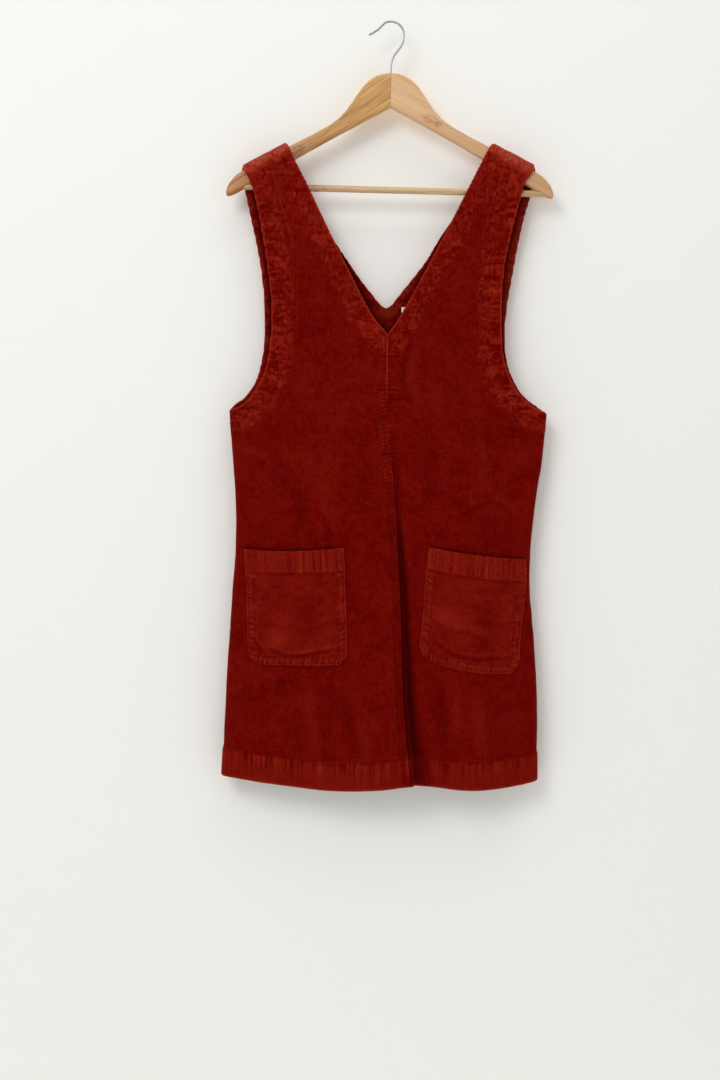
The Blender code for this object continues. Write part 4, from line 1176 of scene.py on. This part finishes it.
# ---- materials --------------------------------------------------------------------------------
class Value:
    """A number, vector or colour that a graph's nodes work out, for use in sums."""

    def __init__(self, graph, socket):
        self.graph = graph
        self.socket = socket

    def __add__(self, other):
        return self.graph.math("ADD", self, other)

    def __sub__(self, other):
        return self.graph.math("SUBTRACT", self, other)

    def __mul__(self, other):
        return self.graph.math("MULTIPLY", self, other)

    def __truediv__(self, other):
        return self.graph.math("DIVIDE", self, other)


class Graph:
    """A Principled material and short ways to add nodes to it."""

    def __init__(self, name, roughness, **sockets):
        self.material = bpy.data.materials.new(name)
        self.material.use_nodes = True
        self.tree = self.material.node_tree
        self.shader = self.tree.nodes["Principled BSDF"]
        self.shader.inputs["Roughness"].default_value = roughness
        for socket, value in sockets.items():
            self.shader.inputs[socket.replace("_", " ")].default_value = value

    def node(self, kind, inputs=(), **settings):
        made = self.tree.nodes.new("ShaderNode" + kind)
        for key, value in settings.items():
            setattr(made, key, value)
        for socket, value in dict(inputs).items():
            if isinstance(value, Value):
                self.tree.links.new(value.socket, made.inputs[socket])
            else:
                made.inputs[socket].default_value = value
        return made

    def value(self, output, *node, **settings):
        """The value at an output, by name or number, of a new node."""
        return Value(self, self.node(*node, **settings).outputs[output])

    def math(self, operation, a, b=0.0, clamp=False):
        return self.value(0, "Math", {0: a, 1: b}, operation=operation, use_clamp=clamp)

    def place(self):
        """The place on the object, in metres."""
        return self.value("Object", "TexCoord")

    def parts(self, vector):
        outputs = self.node("SeparateXYZ", {0: vector}).outputs
        return [Value(self, output) for output in outputs]

    def combine(self, x, y, z=0.0):
        return self.value(0, "CombineXYZ", {0: x, 1: y, 2: z})

    def noise(self, vector, scale, detail=2.0, roughness=0.5):
        inputs = {"Vector": vector, "Scale": scale, "Detail": detail, "Roughness": roughness}
        return self.value("Fac", "TexNoise", inputs)

    def spread(self, value, low, high):
        """value from low..high stretched to 0..1."""
        return self.value(0, "MapRange", {"Value": value, "From Min": low, "From Max": high}, clamp=True)

    def mix(self, share, a, b, blend="MIX"):
        """Colour a, with a share of colour b laid over it."""
        a, b = ((*colour, 1) if isinstance(colour, tuple) else colour for colour in (a, b))
        return self.value(2, "Mix", {0: share, 6: a, 7: b}, data_type="RGBA", blend_type=blend)

    def tint(self, colour, tint):
        return self.mix(1.0, colour, tint, "MULTIPLY")

    def bump(self, height, strength, distance):
        return self.value(0, "Bump", {"Height": height, "Strength": strength, "Distance": distance})

    def plug(self, socket, value):
        self.tree.links.new(value.socket, self.shader.inputs[socket])


def corduroy(name, rubbed_to=WORN_AND_LIT):
    """Garment-washed corduroy: grooves painted darker with shade, nap on the wales, paler where folds are
    rubbed, a painted highlight on the crown, and painted shade where the value is below 0.
    """
    g = Graph(name, 0.92, Sheen_Weight=0.2, Sheen_Roughness=0.5, Sheen_Tint=(0.7, 0.02, 0.01, 1))
    g.shader.inputs["Specular IOR Level"].default_value = 0.1
    g.shader.inputs["Specular Tint"].default_value = (1.0, 0.04, 0.02, 1)
    wales, along, worn = g.parts(g.value("Vector", "Attribute", attribute_name="cloth"))

    def patches(across, length):
        """Noise in patches `across` wales wide and `length` millimetres long."""
        return g.spread(g.noise(g.combine(wales / across, along / (length * MM)), 1.0), 0.3, 0.7)

    # The wale's groove painted darker and its top lighter: painted shade and light of its relief.
    top = g.math("ABSOLUTE", g.math("SINE", wales * math.pi))
    low = g.mix(g.spread(top, 0.0, 0.55), PILE["groove"], PILE["flank"])
    colour = g.mix(g.spread(top, 0.5, 1.0), low, PILE["top"])
    tone = patches(1.7, 4.5) * 0.42 + patches(4.0, 11.0) * 0.33 + patches(12.0, 36.0) * 0.25
    tone = g.spread(tone, 0.25, 0.75)
    dark = g.tint(colour, (0.82, 0.4, 0.5))
    light = g.tint(colour, (1.19, 2.7, 1.9))
    colour = g.mix(tone, dark, light)
    frayed = g.spread(patches(1.1, 3.2), 0.0, 0.8) * 0.6 + 0.5
    # Paler with wear; on the crown also a painted highlight.
    colour = g.mix(g.math("MULTIPLY", worn, frayed, clamp=True) * 0.85, colour, rubbed_to)
    # Where the pile is gone, and on the crown the brightest of its painted highlight.
    bald_and_highlight = patches(0.9, 2.4) * 1.5 + 0.05
    bald_and_highlight = g.math("MULTIPLY", g.math("SUBTRACT", worn, 1.0, clamp=True), bald_and_highlight, clamp=True)
    colour = g.mix(bald_and_highlight, colour, PALE)
    # Painted shade where the value is below 0, which also covers cloth that is hardly rubbed.
    colour = g.mix(g.math("MULTIPLY", worn, -1.0, clamp=True), colour, SHADE_AND_UNWORN)
    g.plug("Base Color", colour)
    tufts = g.noise(g.combine(wales * 3.0, along * 900.0), 1.0)
    g.plug("Normal", g.bump(tufts, 0.5, 0.0003))
    return g.material


def wood(name, pale, dark, slope, figure, knot, stain, middle, end):
    """Varnished wood, from the values that WOODS describes."""
    g = Graph(name, 0.45, Coat_Weight=0.15, Coat_Roughness=0.35)
    x, y, z = g.parts(g.place())
    c = math.cos(slope)
    s = math.sin(slope)
    run = x * c + z * s
    rise = z * c - x * s
    across = run - (knot[0] * c + knot[1] * s)
    up = rise - (knot[1] * c - knot[0] * s)
    up_squared = up * up * 5.0
    near = across * across + up_squared
    pull = g.math("DIVIDE", 0.00006, near + 0.00004)
    rise = rise + pull * up

    def grain(along, through):
        """Noise that swings `along` and `through` times a metre, with and across the grain."""
        return g.noise(g.combine(run * along, y * 90.0, rise * through), 1.0, 3.0, 0.6)

    rings = grain(9.0, 330.0)
    pores = grain(55.0, 1500.0)
    wide = grain(5.0, 60.0)
    colour = g.mix(g.spread(wide, 0.3, 0.7), dark, pale)
    streak = g.mix(figure, colour, g.tint(colour, (0.62, 0.5, 0.38)))
    colour = g.mix(g.spread(rings, 0.38, 0.6), streak, colour)
    pored = g.mix(figure, colour, g.tint(colour, (0.7, 0.58, 0.46)))
    colour = g.mix(g.spread(pores, 0.3, 0.5), pored, colour)
    squiggles = g.spread(grain(130.0, 420.0), 0.42, 0.56)
    core = g.math("MAXIMUM", g.spread(near, 0.00002, 0.00030), squiggles)
    colour = g.mix(core, tuple(a * b for a, b in zip(dark, stain)), colour)
    # Painted shade: the wood darkens from the middle tint to the end tint towards the hanger's tips.
    outward = g.spread(g.math("ABSOLUTE", x), 0.02, 0.2)
    g.plug("Base Color", g.tint(colour, g.mix(outward, middle, end)))
    g.plug("Normal", g.bump(pores, 0.12, 0.0002))
    return g.material


def wire_metal():
    g = Graph("wire", 0.22, Metallic=1.0)
    dull = g.noise(g.place(), 160.0, 3.0)
    g.plug("Base Color", g.mix(dull, (0.20, 0.20, 0.21), (0.50, 0.50, 0.51)))
    g.plug("Roughness", g.spread(dull, -1.2, 2.6))
    return g.material


def tape():
    """Plain woven tape of the blank label."""
    g = Graph("label", 0.8)
    threads = {"Vector": g.place(), "Scale": 900.0}
    warp = g.value("Fac", "TexWave", threads, bands_direction="X")
    weave = warp * g.value("Fac", "TexWave", threads, bands_direction="Z")
    g.plug("Base Color", g.mix(weave, (0.72, 0.71, 0.67), (0.86, 0.85, 0.82)))
    g.plug("Normal", g.bump(weave, 0.4, 0.0002))
    return g.material


def thread():
    g = Graph("thread", 0.8, Specular_IOR_Level=0.0)
    twist = g.noise(g.place(), 900.0, 1.0)
    g.plug("Base Color", g.mix(twist, (0.09, 0.0020, 0.0012), (0.17, 0.009, 0.005)))
    return g.material


# ---- the pieces -------------------------------------------------------------------------------
def make_front(side, name, mat):
    levels = row_levels(FRONT_ROWS, HEM_LEVEL + HEM_ROLL)
    sheet, _ = panel_sheet(PANELS[side, FRONT], levels, FINE_STEP)
    return cloth_mesh(name, sheet, mat)


def make_back(name, mat, rows, lowest, facing=False):
    """Both halves of the back or of its facing, joined down the middle below the V."""
    weld = BACK_V - NECK_ROLL
    levels = np.array(sorted({*row_levels(rows, lowest).tolist(), weld, weld + 0.9}))
    left, left_grid = panel_sheet(PANELS[LEFT, BACK], levels, PLAIN_STEP, facing)
    right, right_grid = panel_sheet(PANELS[RIGHT, BACK], levels, PLAIN_STEP, facing)
    below = levels <= weld + 1e-6
    pairs = zip(left_grid.high_ids[below].tolist(), right_grid.low_ids[below].tolist())
    return cloth_mesh(name, join_sheets(left, right, pairs), mat)


def pocket_size(side):
    """Width, halfway between the mouth's and the bottom's, and depth at the middle."""
    plan = POCKETS[side]
    ends = plan["sides"][0], plan["sides"][-1]
    width = 0.5 * sum(right - left for _, left, right in ends)
    return width, plan["mouth"][1] - plan["bottom"][1]


def pocket_place(side, across, down):
    """Front-view place on a pocket, from shares of its width and of its depth."""
    plan = POCKETS[side]
    left = smooth(plan["sides"], down)
    right = smooth(plan["sides"], down, 2)
    mouth = bend(plan["mouth"], across)
    bottom = bend(plan["bottom"], across)
    return left + (right - left) * across, mouth + (bottom - mouth) * down


def pocket_points(side, across, down):
    """Inner face of a patch pocket and its normals: the front moved out, and bowed at the mouth."""
    panel = PANELS[side, FRONT]
    x, z = pocket_place(side, across, down)
    bow = (1 - np.abs(2 * across - 1) ** 3) * (1 - down**2)
    lift = CLOTH_WALL + POCKET_SEAT + POCKET_BULGE * bow
    normal = panel.normal(x, z)
    return panel.inner_face(x, z) + normal * lift[..., None], normal


def pocket_folds(side, a, d):
    """Creases and puckers at (across, down) on a pocket, and how worn each place is."""
    width, depth = pocket_size(side)
    seed = 120 + 10 * side
    edge = np.minimum(np.minimum(a, width - a), depth - d)
    out = 0.35 * blotchy(a / 27, d / 33, seed) + 0.22 * blotchy(a / 11, d / 5, seed + 1)
    worn = 0.12 + 0.3 * out
    at_bottom = depth - d < np.minimum(a, width - a)
    along = np.where(at_bottom, a + 400, d) + 1.5 * blotchy(a / 9, d / 9, seed + 7) - 0.2 * edge
    ladder = np.sin(2 * math.pi * (along / 6.2 + 0.5 * uneven(along / 15, seed + 3)))
    bars = 0.35 * ladder + 0.7 * uneven(along / 1.8, seed + 2) + 0.6 * blotchy(a / 1.8, d / 2.1, seed + 12)
    bars = bars * (0.7 + 0.45 * blotchy(a / 7, d / 9, seed + 8))
    near = fade(edge + 2.5 * blotchy(a / 6, d / 6, seed + 9), 10, 16)
    out = out + 0.36 * bars * near
    worn = worn * (1 - near) + near * (0.22 + 0.42 * bars)
    bent, rub_and_shade = creased(a, -d, POCKET_CREASES[side], *POCKET_CREASE_WEAR_AND_SHADE)
    rubbed_a, rubbed_d = POCKET_RUBBED[side]
    worn = worn + rub_and_shade + 0.3 * bell(a, rubbed_a, 15) * bell(d, rubbed_d, 11)
    mouth = 0.6 * uneven(a / 2.6, seed + 4) + 0.75 * uneven(a / 1.5, seed + 5)
    mouth = mouth * (0.7 + 0.6 * blotchy(a / 9, d / 8, seed + 6))
    band = fade(d, POCKET_BAND - 3, POCKET_BAND + 1)
    out = out + bent + 0.42 * mouth * band
    worn = worn * (1 - 0.75 * band) + band * (0.24 + 0.34 * mouth)
    # The stitches' grooves, painted darker with shade.
    for row in POCKET_STITCHES:
        groove = bell(edge, row, 1.1) * ramp(d, 1, 4)
        out = out - 0.3 * groove
        worn = worn - 0.16 * groove
    # The groove under the mouth's band, painted darker with shade, and a pale lip above the band.
    line = POCKET_BAND + 1.2 * uneven(a / 21, seed + 13)
    groove = 0.45 * bell(d, line, 1.5) * (0.6 + 0.5 * uneven(a / 11, seed + 10))
    lip = bell(d, POCKET_BAND - 3.2, 1.4) * (0.5 + 0.5 * uneven(a / 9, seed + 11))
    return out - groove, np.clip(worn - groove + 0.2 * lip, -1, 1)


def make_pocket(side, name, mat):
    """A patch pocket with rounded lower corners and a turned-in band at its mouth."""
    width, depth = pocket_size(side)
    roll = 0.7
    mouth = np.linspace(roll, POCKET_BAND + 3, 17)
    middle = np.linspace(POCKET_BAND + 5, depth - POCKET_ROUND - 5, 70)
    bottom = np.linspace(depth - POCKET_ROUND - 3, depth - roll, 21)
    down = np.concatenate([mouth, middle, bottom])[::-1] / depth
    gap = np.maximum(POCKET_ROUND - (1 - down) * depth, 0)
    cut = roll + POCKET_ROUND - np.sqrt(np.maximum(POCKET_ROUND**2 - gap**2, 0))
    columns = np.arange(-3 * FINE_STEP, width + 3 * FINE_STEP, FINE_STEP)[None]
    sway = 0.3 * blotchy(columns / 19, down[:, None] * 4, 90 + side)
    grid = Grid(columns + sway, cut, width - cut)
    a = grid.at
    down = down[grid.row]
    d = down * depth
    above = (1 - down) * depth
    base, _ = pocket_points(side, a / width, down)
    folds, worn = pocket_folds(side, a, d)
    from_edge = np.minimum(np.minimum(a, width - a), np.minimum(d + 1, above))
    rim = 0.35 + 0.4 * blotchy(a / 12, d / 12, 77 + side)
    quads, triangles = grid.faces()
    sheet = {
        "base": base,
        "flat": np.stack([a, above], axis=1),
        "wall": POCKET_WALL - 0.1 + 0.5 * fade(d, POCKET_BAND - 1, POCKET_BAND + 2),
        "folds": folds,
        "roll": np.where(grid.is_low | grid.is_high | (grid.row == 0), 0.75, 0.85),
        "wales": (a - sway[grid.row, grid.column]) / WALE + 0.3,
        "along": above + 50,
        "worn": worn + rim * (1 - worn) * bell(from_edge, 0, 1.9),
        "quads": quads,
        "triangles": triangles,
        "coarse": np.flatnonzero((grid.row % 5 == 2) & (grid.column % 8 == 3)),
        "sign": 1,
    }
    return cloth_mesh(name, sheet, mat)


def along_line(at, travelled, values):
    """The values of a line's points, at distances along it."""
    return np.stack([np.interp(at, travelled, column) for column in values.T], axis=-1)


def lengths_along(points):
    """How far along a line each of its points is."""
    return np.concatenate([[0], np.cumsum(np.linalg.norm(np.diff(points, axis=0), axis=1))])


def stitch_mesh(name, rows, mat):
    """All the stitches of a piece as one mesh; rows are (points, normals) along lines of sewing."""
    sides = 5
    turn = 2 * math.pi * np.arange(sides)[:, None] / sides
    # Rings of a stitch: place along it in lengths, width in radii, height in millimetres
    rings = ((-0.5, 0.35, -0.35), (-0.3, 1.0, 0.0), (0.3, 1.0, 0.0), (0.5, 0.35, -0.35))
    points = []
    for places, normals in rows:
        travelled = lengths_along(places)
        for centre in np.arange(STITCH_PITCH, travelled[-1], STITCH_PITCH):
            middle, ahead, behind = along_line(centre + np.array([0, 1, -1]), travelled, places)
            up = along_line(centre, travelled, normals)
            along = unit(ahead - behind)
            spokes = (np.cross(along, up) * np.cos(turn) + up * np.sin(turn)) * STITCH_RADIUS
            for at, size, high in rings:
                points.append(middle + along * at * STITCH_LENGTH + up * high + spokes * size)
    points = np.concatenate(points)
    ids = np.arange(len(points)).reshape(-1, len(rings), sides)
    turned = np.roll(ids, -1, axis=2)
    walls = np.stack([ids[:, :-1], ids[:, 1:], turned[:, 1:], turned[:, :-1]], axis=-1)
    caps = np.concatenate([ids[:, 0], ids[:, -1, ::-1]])
    return new_mesh(name, points, walls.reshape(-1, 4).tolist() + caps.tolist(), mat)


def fine_route(route, spacing=4.0):
    """Places along a route at an even spacing, rounded a little at its corners, as x and z."""
    route = np.array(route, float)
    travelled = lengths_along(route)
    at = np.linspace(0, travelled[-1], max(int(travelled[-1] / spacing), 2) + 1)
    out = along_line(at, travelled, route)
    for _ in range(3):
        out[1:-1] = (out[:-2] + 2 * out[1:-1] + out[2:]) / 4
    return out.T


def panel_stitches(panel):
    return [panel.outer_face(*fine_route(route)) for route, *_ in panel.sewing]


def pocket_stitches(side):
    """Two rows of stitches round a pocket's sides and bottom, and one under its mouth's band."""
    width, depth = pocket_size(side)
    corner = depth - POCKET_ROUND
    routes = []
    for inset in POCKET_STITCHES:
        radius = POCKET_ROUND - inset
        left = [(inset, 1.5), (inset, corner)]
        for t in np.linspace(0, math.pi / 2, 8):
            left.append((POCKET_ROUND - radius * math.cos(t), corner + radius * math.sin(t)))
        routes.append(left + [(width - a, d) for a, d in reversed(left[2:])] + [(width - inset, 1.5)])
    routes.append([(1.0, POCKET_BAND), (width - 1.0, POCKET_BAND)])
    rows = []
    for route in routes:
        a, d = fine_route(route, 3.0)
        base, normal = pocket_points(side, a / width, d / depth)
        lift = POCKET_WALL + 0.1 + pocket_folds(side, a, d)[0]
        rows.append((base + normal * lift[:, None], normal))
    return rows


def make_label(mat):
    """The blank label, a little curled, sewn to the facing right of the back neck's V."""
    width, thickness, height = LABEL_SIZE
    centre_x = LABEL_CORNER[0] + width / 2
    centre_z = LABEL_CORNER[1] - height / 2
    behind = PANELS[RIGHT, BACK].inner_face(np.array([centre_x]), np.array([centre_z]))[0, 1]
    plane = behind - SEAM_GAP - FACING_WALL - LABEL_GAP - thickness / 2
    a, b = np.meshgrid(np.linspace(-1, 1, 37), np.linspace(-1, 1, 17))
    soft = 1 - 0.12 * np.maximum(np.abs(a), np.abs(b)) ** 12
    curl = 0.06 * np.sin(3.1 * a + 0.8) * (1 - b)
    x = centre_x + a * width / 2 * soft**0.1
    z = centre_z + b * height / 2 * soft**0.1
    sheets = [np.stack([x, plane + y * soft + curl, z], axis=-1) for y in (-thickness / 2, thickness / 2)]
    ids = np.arange(a.size).reshape(a.shape)
    quads = np.stack([ids[:-1, :-1], ids[:-1, 1:], ids[1:, 1:], ids[1:, :-1]], axis=-1).reshape(-1, 4)
    rim = boundary_loops(quads, quads[:0, :3])[0]
    after = np.roll(rim, -1)
    edge = np.stack([after, rim, rim + a.size, after + a.size], axis=1)
    faces = np.concatenate([quads, quads[:, ::-1] + a.size, edge]).tolist()
    return new_mesh("label_tape", np.concatenate(sheets).reshape(-1, 3), faces, mat, 40)


def make_stage():
    """A pale wall behind the dress, which is seen from its front alone, and a floor below it."""
    paints = {
        "wall": Graph("wall_paint", 0.9, Base_Color=(0.80, 0.80, 0.775, 1)),
        "floor": Graph("floor_paint", 0.9, Base_Color=(0.75, 0.75, 0.73, 1)),
    }
    g = paints["wall"]
    back = g.value("Backfacing", "NewGeometry")
    clear = g.math("MAXIMUM", back, g.value("Is Shadow Ray", "LightPath"))
    see_through = g.node("BsdfTransparent")
    mixed = g.node("MixShader", {0: clear})
    g.tree.links.new(g.shader.outputs[0], mixed.inputs[1])
    g.tree.links.new(see_through.outputs[0], mixed.inputs[2])
    g.tree.links.new(mixed.outputs[0], g.tree.nodes["Material Output"].inputs[0])
    x, y, floor = 3000, 29.0, -1600
    corners = {
        "wall": [(-x, y, floor), (x, y, floor), (x, y, 1500), (-x, y, 1500)],
        "floor": [(-x, -4000, floor), (x, -4000, floor), (x, 4000, floor), (-x, 4000, floor)],
    }
    for name, paint in paints.items():
        new_mesh(name, corners[name], [(0, 1, 2, 3)], paint.material)


def area_light(name, place, aim, size, power):
    data = bpy.data.lights.new(name, "AREA")
    data.shape = "RECTANGLE"
    data.size, data.size_y = size
    data.energy = power
    obj = bpy.data.objects.new(name, data)
    obj.location = place
    obj.rotation_euler = (Vector(aim) - Vector(place)).to_track_quat("-Z", "Y").to_euler()
    bpy.context.scene.collection.objects.link(obj)


def make_lights():
    world = bpy.data.worlds.new("studio")
    world.use_nodes = True
    background = world.node_tree.nodes["Background"]
    background.inputs[0].default_value = (1.0, 0.99, 0.97, 1)
    background.inputs[1].default_value = 0.72
    bpy.context.scene.world = world
    bpy.context.scene.view_settings.view_transform = "Standard"
    middle = (0, 0, -0.6)
    area_light("key", (-1.5, -2.8, 1.3), middle, (1.5, 1.5), 46)
    area_light("top", (0.4, -1.4, 2.4), (0.1, 0.04, 0.2), (2.6, 0.6), 16)
    area_light("behind_left", (-1.4, 2.2, 0.7), middle, (1.4, 1.4), 34)
    area_light("behind_right", (1.7, 1.9, 0.6), middle, (1.4, 1.4), 46)


def make_camera():
    data = bpy.data.cameras.new("camera")
    data.lens = 50
    data.sensor_width = 36
    data.sensor_height = 36
    data.sensor_fit = "VERTICAL"
    camera = bpy.data.objects.new("camera", data)
    camera.location = (-0.042, -2.0417, -0.7043)
    camera.rotation_euler = (math.radians(90), 0, 0)
    bpy.context.scene.collection.objects.link(camera)
    bpy.context.scene.camera = camera


def main():
    cloth = corduroy("corduroy")
    inside = corduroy("facing_corduroy", FACING_RUBBED_AND_LIT)
    make_camera()
    declare(make_front(LEFT, "cloth_front_left", cloth), "front_left")
    declare(make_front(RIGHT, "cloth_front_right", cloth), "front_right")
    back = make_back("cloth_back", cloth, BACK_ROWS, HEM_LEVEL + HEM_ROLL)
    declare(back, "back")
    facing = make_back("cloth_back_facing", inside, FACING_ROWS, FACING_FROM, True)
    declare(facing, "back_facing")
    declare(make_pocket(LEFT, "cloth_pocket_left", cloth), "pocket_left")
    declare(make_pocket(RIGHT, "cloth_pocket_right", cloth), "pocket_right")
    sewn = {
        "stitches_front_left": panel_stitches(PANELS[LEFT, FRONT]),
        "stitches_front_right": panel_stitches(PANELS[RIGHT, FRONT]),
        "stitches_back": panel_stitches(PANELS[LEFT, BACK]) + panel_stitches(PANELS[RIGHT, BACK])[:-1],
        "stitches_pockets": pocket_stitches(LEFT) + pocket_stitches(RIGHT),
    }
    cotton = thread()
    for name, rows in sewn.items():
        piece = stitch_mesh(name, rows, cotton)
        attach(piece, "root")
    label = make_label(tape())
    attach(label, "root")
    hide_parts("label")
    looks = {node: wood(**values) for node, values in WOODS.items()}
    looks["hanger_hook"] = wire_metal()
    for node, look in looks.items():
        slots = frame["nodes"][node].data.materials
        for k in range(len(slots)):
            slots[k] = look
    make_stage()
    make_lights()


main()
